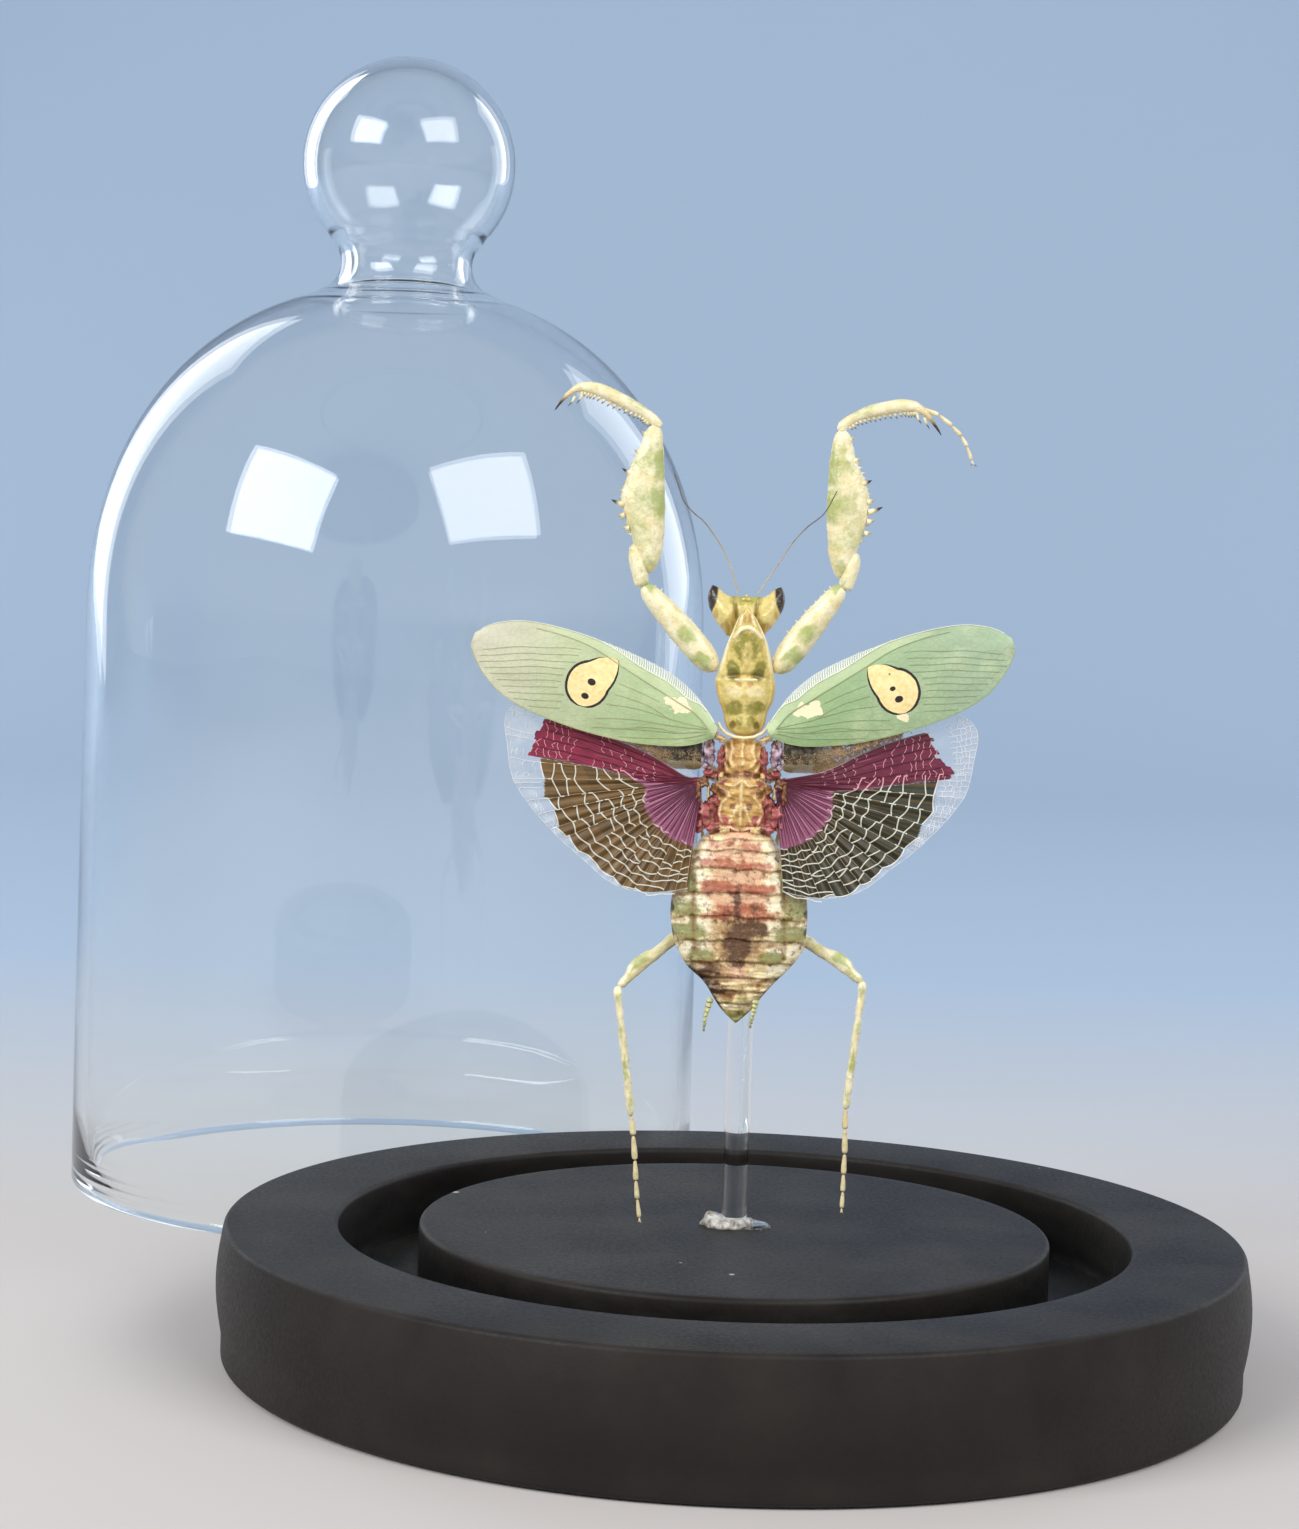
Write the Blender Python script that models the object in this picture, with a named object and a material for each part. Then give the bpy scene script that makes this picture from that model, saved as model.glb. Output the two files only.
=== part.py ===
"""Dried flower mantis, wings spread, on a clear rod and a turned black base, with its glass dome.

The dome is off the base and stands on the table behind it. Metres, +Z up, the base's underside on
Z = 0 with its centre at the origin. The insect hangs upright in front of the rod, its back to -Y.
Tables of sections are in millimetres, and MM turns them into metres.
"""
import math

import bmesh
import bpy
from mathutils import Matrix, Vector

MM = 0.001
GAP = 0.3

# Turned base: a disc, a ring groove for the dome's rim, and an outer ring
BASE_RADIUS = 50.6
BASE_TOP_RADIUS = 50.0
BASE_HEIGHT = 13.0
ARRIS = 0.8
GROOVE_INNER_RADIUS = 31.0
GROOVE_OUTER_RADIUS = 38.9
GROOVE_DEPTH = 6.5
BASE_SEGMENTS = 48

# Clear rod in a drilled hole at the middle of the disc
ROD_RADIUS = 1.25
ROD_HOLE_DEPTH = 5.0
ROD_TOP = 57.5
GLUE_RADIUS = 2.4
GLUE_HEIGHT = 1.2

# Blown dome, standing clear of the base
DOME_CENTRE = (-44.0, 78.4)
DOME_RIM_RADIUS = 38.2
DOME_SHOULDER_RADIUS = 37.8
DOME_SHOULDER_START = 68.0
DOME_SHOULDER_RISE = 42.5
DOME_SHOULDER_POWER = 2.2
DOME_WALL = 1.7
RIM_BEAD_HEIGHT = 2.6
RIM_BEAD_EXTRA = 0.7
NECK_ARC_CENTRE = (11.6, 113.1)
NECK_ARC_RADIUS = 3.6
KNOB_CENTRE = 125.2
KNOB_RADIUS = 12.95
DOME_SEGMENTS = 36

# Where the insect's own frame stands: its midline and its flat plane, in front of the rod
INSECT_X = -0.7
INSECT_Y = -4.9
THROUGH = Vector((0.0, 1.0, 0.0))

# Body sections from front to back: height, sideways offset, half width, depth, half thickness
PRONOTUM = ((74.0, 0.0, 0.35, -1.5, 0.25), (73.0, 0.0, 0.9, -1.45, 0.35), (71.6, 0.1, 1.5, -1.2, 0.5),
            (69.9, 0.1, 2.1, -0.4, 1.3), (66.9, 0.0, 2.9, 0.0, 1.7), (65.6, 0.1, 2.5, 0.0, 1.7),
            (63.2, 0.1, 2.0, 0.0, 1.5), (61.8, 0.1, 1.4, -0.2, 1.1))
THORAX = ((61.3, 0.0, 1.6, 0.2, 1.0), (60.4, 0.0, 2.1, 0.1, 1.4), (57.2, 0.0, 2.4, 0.0, 1.8),
          (54.4, 0.0, 2.8, 0.0, 1.7), (53.4, 0.0, 2.5, 0.0, 1.3))
ABDOMEN = ((53.0, 0.0, 2.8, -0.3, 1.2), (51.5, -0.1, 4.1, -0.3, 1.7), (48.9, 0.0, 5.6, -0.3, 1.9),
           (45.0, 0.15, 6.55, -0.3, 1.9), (42.2, 0.25, 6.5, -0.3, 1.8), (39.3, 0.25, 5.0, -0.3, 1.5),
           (37.8, 0.35, 3.4, -0.3, 1.2), (35.9, 0.2, 2.0, -0.3, 0.8), (33.9, 0.2, 0.3, -0.3, 0.2))

# Head from one eye to the other: offset from its middle, height, half height, half thickness
HEAD_MIDDLE = -0.15
HEAD_DEPTH = 1.0
HEAD_HALF = ((3.75, 75.4, 0.5, 0.35), (3.3, 74.7, 1.35, 0.8), (2.5, 73.9, 1.6, 1.05),
             (1.7, 73.15, 1.85, 1.15), (0.7, 73.25, 1.85, 1.2))

# Outlines of the legs' pieces: fraction of the length, edge towards the midline, edge away, thickness
COXA_SHAPE = ((0.0, 0.8, 0.8, 0.8), (0.15, 1.2, 1.2, 1.0), (0.5, 1.35, 1.35, 1.05),
              (0.85, 1.2, 1.2, 0.95), (1.0, 0.8, 0.8, 0.7))
FORE_FEMUR_SHAPE = ((0.0, 0.45, 0.45, 0.45), (0.08, 0.9, 0.9, 0.7), (0.2, 1.4, 1.6, 0.9),
                    (0.38, 1.5, 2.45, 0.95), (0.52, 1.4, 2.5, 0.95), (0.8, 1.05, 1.6, 0.8),
                    (0.92, 0.9, 0.9, 0.65), (1.0, 0.6, 0.6, 0.5))
SMALL_COXA_SHAPE = ((0.0, 0.5, 0.5, 0.5), (0.5, 0.65, 0.65, 0.55), (1.0, 0.45, 0.45, 0.45))
FEMUR_SHAPE = ((0.0, 0.5, 0.5, 0.45), (0.3, 0.7, 0.7, 0.55), (0.8, 0.6, 0.6, 0.45), (1.0, 0.4, 0.4, 0.35))
TIBIA_SHAPE = ((0.0, 0.35, 0.35, 0.35), (0.1, 0.45, 0.45, 0.4), (0.9, 0.4, 0.4, 0.35),
               (1.0, 0.3, 0.3, 0.3))
TARSUS_SHAPE = ((0.0, 0.28, 0.28, 0.28), (0.5, 0.33, 0.33, 0.3), (1.0, 0.2, 0.2, 0.2))
CERCUS_SHAPE = ((0.0, 0.28, 0.28, 0.25), (0.4, 0.32, 0.32, 0.28), (1.0, 0.08, 0.08, 0.08))

# Ends of the leg pieces: sideways from the midline, depth, height; the two sides dried differently
LEGS = {
    "left": {
        "fore_coxa": ((3.1, 0.3, 68.3), (10.1, 0.6, 75.5)),
        "fore_femur": ((10.4, 0.6, 76.4), (9.1, 0.4, 90.8)),
        "hind_femur": ((1.8, 2.45, 45.5), (11.1, 0.6, 36.9)),
        "hind_tibia": ((11.4, 0.5, 36.3), (9.6, 0.0, 24.4)),
        "hind_tarsus": ((9.5, 0.0, 24.0), (8.5, -0.2, 14.2)),
        "cercus": ((2.4, -0.5, 35.9), (2.8, -0.9, 33.1)),
    },
    "right": {
        "fore_coxa": ((3.1, 0.3, 68.4), (8.4, 0.6, 75.9)),
        "fore_femur": ((8.8, 0.6, 76.8), (8.4, 0.4, 90.9)),
        "hind_femur": ((2.1, 2.45, 44.8), (12.1, 0.6, 38.4)),
        "hind_tibia": ((12.4, 0.5, 37.8), (11.1, 0.0, 25.9)),
        "hind_tarsus": ((11.1, 0.0, 25.5), (11.1, -0.2, 16.0)),
        "cercus": ((2.1, -1.9, 36.3), (1.6, -1.7, 33.7)),
    },
}
MID_LEG = {
    "mid_coxa": ((2.0, 2.5, 57.0), (3.4, 2.9, 58.3)),
    "mid_femur": ((3.9, 2.9, 58.5), (12.0, 3.0, 58.9)),
    "mid_tibia": ((11.8, 4.1, 58.3), (4.4, 4.1, 56.0)),
    "mid_tarsus": ((4.1, 4.1, 55.6), (3.2, 3.8, 48.4)),
}
HIND_COXA = ((1.7, 2.45, 52.0), (1.9, 2.45, 46.3))

# Fore tibia routes with half widths, from the knee to the tip of the claw, and the one foot left
FORE_TIBIA = {
    "left": ((9.7, 91.8, 0.4), (11.2, 92.7, 0.6), (13.2, 93.6, 0.68), (14.8, 94.3, 0.7), (16.0, 94.5, 0.6),
             (17.1, 94.4, 0.35), (18.2, 93.5, 0.2), (19.1, 92.3, 0.07)),
    "right": ((8.5, 91.9, 0.4), (9.6, 92.5, 0.6), (11.3, 93.1, 0.68), (13.5, 93.6, 0.7), (15.1, 93.6, 0.6),
              (16.1, 93.2, 0.35), (16.9, 92.4, 0.2), (18.1, 91.0, 0.07)),
}
FORE_TARSUS = ((16.9, 93.5, 0.22), (19.2, 91.7, 0.22), (20.2, 90.4, 0.2), (20.9, 88.8, 0.14))
ANTENNAE = {
    "left": ((1.1, 75.6), (1.6, 77.4), (3.0, 80.2), (4.4, 82.0), (6.6, 84.0), (7.4, 86.5)),
    "right": ((0.9, 75.5), (2.6, 77.9), (4.1, 80.6), (7.0, 83.2), (8.1, 85.3)),
}
ANTENNA_RADIUS = 0.12
ANTENNA_LEAN = 0.25

# Wings: outlines in their own frames, root to tip, and how each one is set
WING_THICKNESS = 0.25
FOREWING_LENGTH = 25.5
FOREWING_LEADING = ((0.0, 0.5), (2.7, 2.5), (6.7, 4.0), (14.8, 4.4), (19.3, 4.1), (23.0, 3.0), (25.5, 0.4))
FOREWING_TRAILING = ((0.0, -0.6), (3.2, -2.6), (7.0, -3.7), (15.2, -4.5), (18.8, -4.3), (23.0, -2.8),
                     (25.5, -0.4))
FOREWING_POSE = {"left": (2.6, 62.0, 17.5, 25.3), "right": (2.4, 62.2, 21.3, 24.8)}
FOREWING_DEPTH = -2.5
FOREWING_CAMBER = 0.5
HINDWING_REACH = ((-84.0, 10.5), (-68.0, 12.1), (-42.0, 13.6), (-18.0, 15.7), (-3.0, 17.7), (5.0, 18.0),
                  (12.0, 19.2), (17.0, 19.3), (21.0, 16.2))
HINDWING_HINGE = {"left": (4.4, 57.0), "right": (3.7, 57.0)}
HINDWING_INNER = 0.5
HINDWING_DEPTH = -1.3
HINDWING_INNER_EDGE_LIFT = 0.75

COLOURS = {
    "base": ((0.018, 0.018, 0.019), 0.7),
    "rod": ((0.85, 0.88, 0.9), 0.05),
    "glue": ((0.8, 0.8, 0.78), 0.15),
    "dome": ((0.9, 0.94, 0.96), 0.02),
    "head": ((0.42, 0.34, 0.08), 0.45),
    "pronotum": ((0.5, 0.42, 0.12), 0.45),
    "thorax": ((0.55, 0.28, 0.12), 0.45),
    "abdomen": ((0.72, 0.42, 0.2), 0.45),
    "leg": ((0.78, 0.72, 0.4), 0.5),
    "forewing": ((0.36, 0.52, 0.28), 0.4),
    "hindwing": ((0.24, 0.05, 0.1), 0.4),
    "antenna": ((0.3, 0.24, 0.14), 0.6),
}


# ---------------------------------------------------------------- tools
def clear_scene():
    for thing in list(bpy.data.objects):
        bpy.data.objects.remove(thing, do_unlink=True)


def insect_point(side, sideways, depth, height):
    """A point in the insect's frame, in millimetres, as a world vector in metres."""
    sign = -1.0 if side == "left" else 1.0
    return Vector((INSECT_X + sign * sideways, INSECT_Y + depth, height)) * MM


def curve_through(points, place):
    """Height at place of the smooth curve through points that are given left to right."""
    last = len(points) - 1
    index = max(i for i in range(last) if points[i][0] <= place or i == 0)
    (x1, y1), (x2, y2) = points[index], points[index + 1]
    x0, y0 = points[max(index - 1, 0)]
    x3, y3 = points[min(index + 2, last)]
    span = x2 - x1
    t = (place - x1) / span
    slope1 = (y2 - y0) / (x2 - x0) * span
    slope2 = (y3 - y1) / (x3 - x1) * span
    return ((2 * t ** 3 - 3 * t ** 2 + 1) * y1 + (t ** 3 - 2 * t ** 2 + t) * slope1
            + (3 * t ** 2 - 2 * t ** 3) * y2 + (t ** 3 - t ** 2) * slope2)


def arc(centre, radius, start, end, steps):
    """Points (radius, height) on an arc, its angles in degrees from the outward direction."""
    angles = [math.radians(start + (end - start) * i / steps) for i in range(steps + 1)]
    return [(centre[0] + radius * math.cos(a), centre[1] + radius * math.sin(a)) for a in angles]


def finish(name, shape, look, sharp_angle=35.0):
    """Close the mesh, smooth it, and make the named object with its own material."""
    bmesh.ops.remove_doubles(shape, verts=shape.verts, dist=0.000002)
    bmesh.ops.recalc_face_normals(shape, faces=shape.faces)
    mesh = bpy.data.meshes.new(name)
    shape.to_mesh(mesh)
    shape.free()
    mesh.shade_smooth()
    mesh.set_sharp_from_angle(angle=math.radians(sharp_angle))
    colour, roughness = COLOURS[look]
    material = bpy.data.materials.new(name)
    material.use_nodes = True
    shader = material.node_tree.nodes["Principled BSDF"]
    shader.inputs["Base Color"].default_value = (*colour, 1.0)
    shader.inputs["Roughness"].default_value = roughness
    shader.inputs["Metallic"].default_value = 0.0
    mesh.materials.append(material)
    made = bpy.data.objects.new(name, mesh)
    bpy.context.scene.collection.objects.link(made)
    return made


def turned(name, outline, centre, segments, look):
    """Turn an outline of (radius, height), both ends on the axis, about the vertical at centre."""
    shape = bmesh.new()
    dots = [shape.verts.new((radius * MM, 0.0, height * MM)) for radius, height in outline]
    lines = [shape.edges.new(pair) for pair in zip(dots, dots[1:])]
    bmesh.ops.spin(shape, geom=dots + lines, cent=(0, 0, 0), axis=(0, 0, 1), dvec=(0, 0, 0),
                   angle=2 * math.pi, steps=segments, use_merge=True, use_duplicate=False)
    bmesh.ops.translate(shape, verts=shape.verts, vec=(centre[0] * MM, centre[1] * MM, 0.0))
    return finish(name, shape, look)


def loft(name, sections, sides, look):
    """Draw a many-sided disc through the given placements, each a matrix from the unit circle."""
    shape = bmesh.new()
    bmesh.ops.create_circle(shape, cap_ends=True, segments=sides, radius=1.0)
    bmesh.ops.transform(shape, matrix=sections[0], verts=shape.verts)
    cap = shape.faces[:]
    for before, after in zip(sections, sections[1:]):
        moved = bmesh.ops.extrude_face_region(shape, geom=cap)["geom"]
        if before is not sections[0]:
            bmesh.ops.delete(shape, geom=cap, context="FACES_ONLY")
        cap =[part for part in moved if isinstance(part, bmesh.types.BMFace)]
        points = [part for part in moved if isinstance(part, bmesh.types.BMVert)]
        bmesh.ops.transform(shape, matrix=after @ before.inverted(), verts=points)
    return finish(name, shape, look, 60.0)


def section(centre, along, half_width, half_thickness):
    """Placement of an oval section square to the direction along, flat in the insect's plane."""
    along = along.normalized()
    across = THROUGH.cross(along).normalized()
    through = along.cross(across)
    axes = Matrix((across * half_width * MM, through * half_thickness * MM, along * MM)).transposed()
    return Matrix.Translation(centre) @ axes.to_4x4()


def body_piece(name, stations, sides, look):
    sections = [section(insect_point("right", offset, depth, height), Vector((0, 0, -1)), width, thick)
                for height, offset, width, depth, thick in stations]
    return loft(name, sections, sides, look)


def leg_piece(name, side, ends, outline, look="leg"):
    """A straight piece of leg between two ends, its outline given on each side of the line."""
    start, end = (insect_point(side, *place) for place in ends)
    along = end - start
    outward = THROUGH.cross(along).normalized()
    if outward.x * (start.x - INSECT_X * MM) < 0:
        outward.negate()
    sections = []
    for fraction, inner, outer, thick in outline:
        centre = start + along * fraction + outward * (outer - inner) / 2 * MM
        sections.append(section(centre, along, (inner + outer) / 2, thick))
    return loft(f"{name}_{side}", sections, 8, look)


def wire_piece(name, side, route, sides, look):
    """A tapering tube along a route of (sideways, depth, height, radius)."""
    points = [insect_point(side, *stop[:3]) for stop in route]
    sections = []
    for i, point in enumerate(points):
        along = points[min(i + 1, len(points) - 1)] - points[max(i - 1, 0)]
        sections.append(section(point, along, route[i][3], route[i][3]))
    return loft(f"{name}_{side}", sections, sides, look)


def wing(name, side, columns, rows, place, look):
    """A thin sheet: place(u, v) gives sideways, depth and height for u along and v across the wing."""
    shape = bmesh.new()
    bmesh.ops.create_grid(shape, x_segments=columns, y_segments=rows, size=0.5)
    for dot in shape.verts:
        dot.co = insect_point(side, *place(dot.co.x + 0.5, dot.co.y + 0.5))
    moved = bmesh.ops.extrude_face_region(shape, geom=shape.faces[:])["geom"]
    points = [part for part in moved if isinstance(part, bmesh.types.BMVert)]
    bmesh.ops.translate(shape, verts=points, vec=THROUGH * WING_THICKNESS * MM)
    return finish(f"{name}_{side}", shape, look)


# ---------------------------------------------------------------- mount and dome
def make_base():
    """One turned piece of wood, its ring groove cut in the top and a hole drilled for the rod."""
    hole = ROD_RADIUS + GAP
    floor = BASE_HEIGHT - GROOVE_DEPTH
    outline = [(0.0, BASE_HEIGHT - ROD_HOLE_DEPTH), (hole, BASE_HEIGHT - ROD_HOLE_DEPTH),
               (hole, BASE_HEIGHT), (GROOVE_INNER_RADIUS - ARRIS / 2, BASE_HEIGHT),
               (GROOVE_INNER_RADIUS, BASE_HEIGHT - ARRIS / 2), (GROOVE_INNER_RADIUS, floor),
               (GROOVE_OUTER_RADIUS, floor), (GROOVE_OUTER_RADIUS, BASE_HEIGHT)]
    outline += arc((BASE_TOP_RADIUS - ARRIS, BASE_HEIGHT - ARRIS), ARRIS, 90, 0, 3)
    outline += [(BASE_RADIUS, BASE_HEIGHT * 0.4)]
    outline += arc((BASE_TOP_RADIUS - ARRIS, ARRIS), ARRIS, 0, -90, 2)
    outline += [(0.0, 0.0)]
    return turned("base", outline, (0, 0), BASE_SEGMENTS, "base")


def make_rod():
    """A clear rod standing in the drilled hole, its top end eased."""
    foot = BASE_HEIGHT - ROD_HOLE_DEPTH + GAP
    ease = 0.2
    outline = [(0.0, ROD_TOP), (ROD_RADIUS - ease, ROD_TOP), (ROD_RADIUS, ROD_TOP - ease),
               (ROD_RADIUS, foot), (0.0, foot)]
    return turned("rod", outline, (0, 0), 20, "rod")


def make_glue_foot():
    """A bead of clear glue run round the rod where it enters the disc."""
    inner = ROD_RADIUS + GAP
    bottom = BASE_HEIGHT + GAP
    shape = bmesh.new()
    outline = ((inner, bottom), (GLUE_RADIUS - 0.2, bottom), (GLUE_RADIUS, bottom + 0.35),
               (inner + 0.3, bottom + GLUE_HEIGHT), (inner, bottom + GLUE_HEIGHT))
    dots = [shape.verts.new((radius * MM, 0.0, height * MM)) for radius, height in outline]
    lines = [shape.edges.new(pair) for pair in zip(dots, dots[1:] + dots[:1])]
    bmesh.ops.spin(shape, geom=dots + lines, cent=(0, 0, 0), axis=(0, 0, 1), dvec=(0, 0, 0),
                   angle=2 * math.pi, steps=20, use_merge=True, use_duplicate=False)
    return finish("glue_foot", shape, "glue")


def make_glue_top():
    """The bead that holds the insect's underside to the rod."""
    shape = bmesh.new()
    bmesh.ops.create_icosphere(shape, subdivisions=2, radius=1.0)
    bmesh.ops.scale(shape, vec=Vector((0.9, 0.6, 1.1)) * MM, verts=shape.verts)
    bmesh.ops.translate(shape, vec=insect_point("right", 0.5, 2.72, 54.4), verts=shape.verts)
    return finish("glue_top", shape, "glue", 60.0)


def dome_shell(inset, neck_radius, knob_radius):
    """One face of the glass from the top of the knob down to the end of the shoulder."""
    neck_start, neck_end = 130, 255
    height = NECK_ARC_CENTRE[1] + neck_radius * math.sin(math.radians(neck_start))
    low = math.degrees(math.asin((height - KNOB_CENTRE) / knob_radius))
    outline = arc((0.0, KNOB_CENTRE), knob_radius, 90, low, 7)[:-1]
    outline += arc(NECK_ARC_CENTRE, neck_radius, neck_start, neck_end, 4)
    steps = 7
    half_width = DOME_SHOULDER_RADIUS - inset
    rise = DOME_SHOULDER_RISE - inset
    first = outline[-1][0] / half_width
    for i in range(1, steps + 1):
        across = math.sin(math.asin(first) + (math.pi / 2 - math.asin(first)) * i / steps)
        up = max(0.0, 1.0 - across ** DOME_SHOULDER_POWER) ** (1.0 / DOME_SHOULDER_POWER)
        outline.append((half_width * across, DOME_SHOULDER_START + rise * up))
    return outline


def make_dome():
    """Blown glass of one wall: a straight body, a round shoulder, a neck and a hollow knob."""
    outside = dome_shell(0.0, NECK_ARC_RADIUS, KNOB_RADIUS)
    inside = dome_shell(DOME_WALL, NECK_ARC_RADIUS + DOME_WALL, KNOB_RADIUS - DOME_WALL * 0.85)
    bead = (DOME_WALL + RIM_BEAD_EXTRA) / 2
    rim = [(DOME_RIM_RADIUS, RIM_BEAD_HEIGHT)]
    rim += [(DOME_RIM_RADIUS - bead + bead * math.cos(a), bead * 0.6 - bead * 0.6 * math.sin(a))
            for a in (math.pi * i / 4 for i in range(5))]
    rim += [(DOME_RIM_RADIUS - DOME_WALL, RIM_BEAD_HEIGHT)]
    return turned("dome", outside + rim + inside[::-1], DOME_CENTRE, DOME_SEGMENTS, "dome")


# ---------------------------------------------------------------- the insect
def make_head():
    """The head with its two upright cone-shaped eyes, one continuous shell."""
    stations = [(HEAD_MIDDLE - offset, *rest) for offset, *rest in HEAD_HALF]
    stations += [(HEAD_MIDDLE + offset, *rest) for offset, *rest in reversed(HEAD_HALF)]
    sections = []
    for sideways, height, half_height, thick in stations:
        centre = insect_point("right", sideways, HEAD_DEPTH, height)
        sections.append(section(centre, Vector((1, 0, 0)), half_height, thick))
    return loft("head", sections, 12, "head")


def make_antennae(side):
    lowest = ANTENNAE[side][0][1]
    route = [(sideways, HEAD_DEPTH - (height - lowest) * ANTENNA_LEAN, height, ANTENNA_RADIUS)
             for sideways, height in ANTENNAE[side]]
    return wire_piece("antenna", side, route, 5, "antenna")


def make_forewing(side):
    root, height, angle, length = FOREWING_POSE[side]
    turn = math.radians(angle)
    scale = length / FOREWING_LENGTH

    def place(u, v):
        along = FOREWING_LENGTH * math.sin(u * math.pi / 2)
        low = curve_through(FOREWING_TRAILING, along)
        across = low + (curve_through(FOREWING_LEADING, along) - low) * v
        bulge = FOREWING_CAMBER * math.sin(math.pi * v) * math.sin(math.pi * (0.15 + 0.7 * u))
        along, across = along * scale, across * scale
        return (root + along * math.cos(turn) - across * math.sin(turn), FOREWING_DEPTH - bulge,
                height + along * math.sin(turn) + across * math.cos(turn))

    return wing("forewing", side, 12, 5, place, "forewing")


def make_hindwing(side):
    hinge, height = HINDWING_HINGE[side]
    lowest, highest = HINDWING_REACH[0][0], HINDWING_REACH[-1][0]

    def place(u, v):
        angle = lowest + (highest - lowest) * u
        reach = HINDWING_INNER + (curve_through(HINDWING_REACH, angle) - HINDWING_INNER) * v
        lift = HINDWING_INNER_EDGE_LIFT * max(0.0, (1.0 - 2.5 * u)) * v
        turn = math.radians(angle)
        return (hinge + reach * math.cos(turn), HINDWING_DEPTH - lift, height + reach * math.sin(turn))

    return wing("hindwing", side, 16, 4, place, "hindwing")


def make_legs(side):
    pieces = LEGS[side]
    leg_piece("fore_coxa", side, pieces["fore_coxa"], COXA_SHAPE)
    leg_piece("fore_femur", side, pieces["fore_femur"], FORE_FEMUR_SHAPE)
    wire_piece("fore_tibia", side, [(x, 0.4, z, width) for x, z, width in FORE_TIBIA[side]], 8, "leg")
    leg_piece("mid_coxa", side, MID_LEG["mid_coxa"], SMALL_COXA_SHAPE)
    leg_piece("mid_femur", side, MID_LEG["mid_femur"], FEMUR_SHAPE)
    leg_piece("mid_tibia", side, MID_LEG["mid_tibia"], TIBIA_SHAPE)
    leg_piece("mid_tarsus", side, MID_LEG["mid_tarsus"], TARSUS_SHAPE)
    leg_piece("hind_coxa", side, HIND_COXA, SMALL_COXA_SHAPE)
    leg_piece("hind_femur", side, pieces["hind_femur"], FEMUR_SHAPE)
    leg_piece("hind_tibia", side, pieces["hind_tibia"], TIBIA_SHAPE)
    leg_piece("hind_tarsus", side, pieces["hind_tarsus"], TARSUS_SHAPE)
    leg_piece("cercus", side, pieces["cercus"], CERCUS_SHAPE)


clear_scene()
make_base()
make_rod()
make_glue_foot()
make_glue_top()
make_dome()
make_head()
body_piece("pronotum", PRONOTUM, 14, "pronotum")
body_piece("thorax", THORAX, 14, "thorax")
body_piece("abdomen", ABDOMEN, 18, "abdomen")
for hand in ("left", "right"):
    make_antennae(hand)
    make_forewing(hand)
    make_hindwing(hand)
    make_legs(hand)
wire_piece("fore_tarsus", "right", [(x, 0.4, z, width) for x, z, width in FORE_TARSUS], 6, "leg")
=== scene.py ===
"""Dried flower mantis, wings spread, on a clear rod and a turned black base, with its glass dome.

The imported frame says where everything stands. Sizes are in millimetres unless a name says otherwise,
and MM turns them into metres. Left and right are as seen from the front, where the insect shows its back.
"""

import math
import random

import bmesh
import bpy
from mathutils import Matrix, Vector, noise


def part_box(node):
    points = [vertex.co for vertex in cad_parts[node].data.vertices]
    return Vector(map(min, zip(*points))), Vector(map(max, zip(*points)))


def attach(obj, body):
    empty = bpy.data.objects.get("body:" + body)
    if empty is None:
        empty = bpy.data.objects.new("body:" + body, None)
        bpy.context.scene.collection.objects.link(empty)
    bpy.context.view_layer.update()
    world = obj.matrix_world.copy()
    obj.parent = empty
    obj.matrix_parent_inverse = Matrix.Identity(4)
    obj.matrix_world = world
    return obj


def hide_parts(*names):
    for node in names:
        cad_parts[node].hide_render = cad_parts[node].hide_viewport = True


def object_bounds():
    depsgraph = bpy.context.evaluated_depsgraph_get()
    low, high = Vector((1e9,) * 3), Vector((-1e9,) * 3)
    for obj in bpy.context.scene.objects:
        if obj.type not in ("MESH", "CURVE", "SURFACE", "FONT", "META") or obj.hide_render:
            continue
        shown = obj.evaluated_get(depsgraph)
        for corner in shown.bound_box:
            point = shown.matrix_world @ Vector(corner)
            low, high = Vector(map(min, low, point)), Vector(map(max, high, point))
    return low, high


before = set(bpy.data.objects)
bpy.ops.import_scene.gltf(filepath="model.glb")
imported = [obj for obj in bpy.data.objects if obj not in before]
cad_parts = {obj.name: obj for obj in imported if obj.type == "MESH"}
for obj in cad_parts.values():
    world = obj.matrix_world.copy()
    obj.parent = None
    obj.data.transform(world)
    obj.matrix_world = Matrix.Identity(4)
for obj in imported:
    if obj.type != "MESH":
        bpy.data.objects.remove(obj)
cad_low, cad_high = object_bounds()
MM = 0.001
# Without a seed, noise_vector takes its offsets from the clock and every run would differ a little.
noise.seed_set(3)


# ---------------------------------------------------------------- table, lamps and camera
# The display stands on a pale paper sweep, with two window-like lamps in front and two tall soft strips
# behind, and is seen from just above the height of the insect's head. None of it is part of the object.
FLOOR_SIZE = 2.4
SWEEP_START = 0.75
SWEEP_RADIUS = 0.45
PAPER_NEAR = (206, 201, 198)
PAPER_FAR = (178, 199, 222)
PAPER_FADE = (0.05, 0.28)
SKY = (222, 222, 226)
SKY_STRENGTH = 0.5
LAMP_DISTANCE = 1.2
# Each lamp's turn from the front and its height in degrees, its width and height in metres, and its watts.
LAMPS = {"lamp_left": (-48.0, 31.0, 0.75, 0.52, 10.0), "lamp_right": (45.0, 37.0, 0.8, 0.55, 8.2),
         "strip_left": (-140.0, 18.0, 0.45, 1.0, 2.0), "strip_right": (140.0, 18.0, 0.45, 1.0, 2.0)}
CAMERA_PLACE = (0.0, -303.2, 78.7)
CAMERA_TURN = (1.85, 3.86, 1.85)
CAMERA_LENS = 73.1


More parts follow.
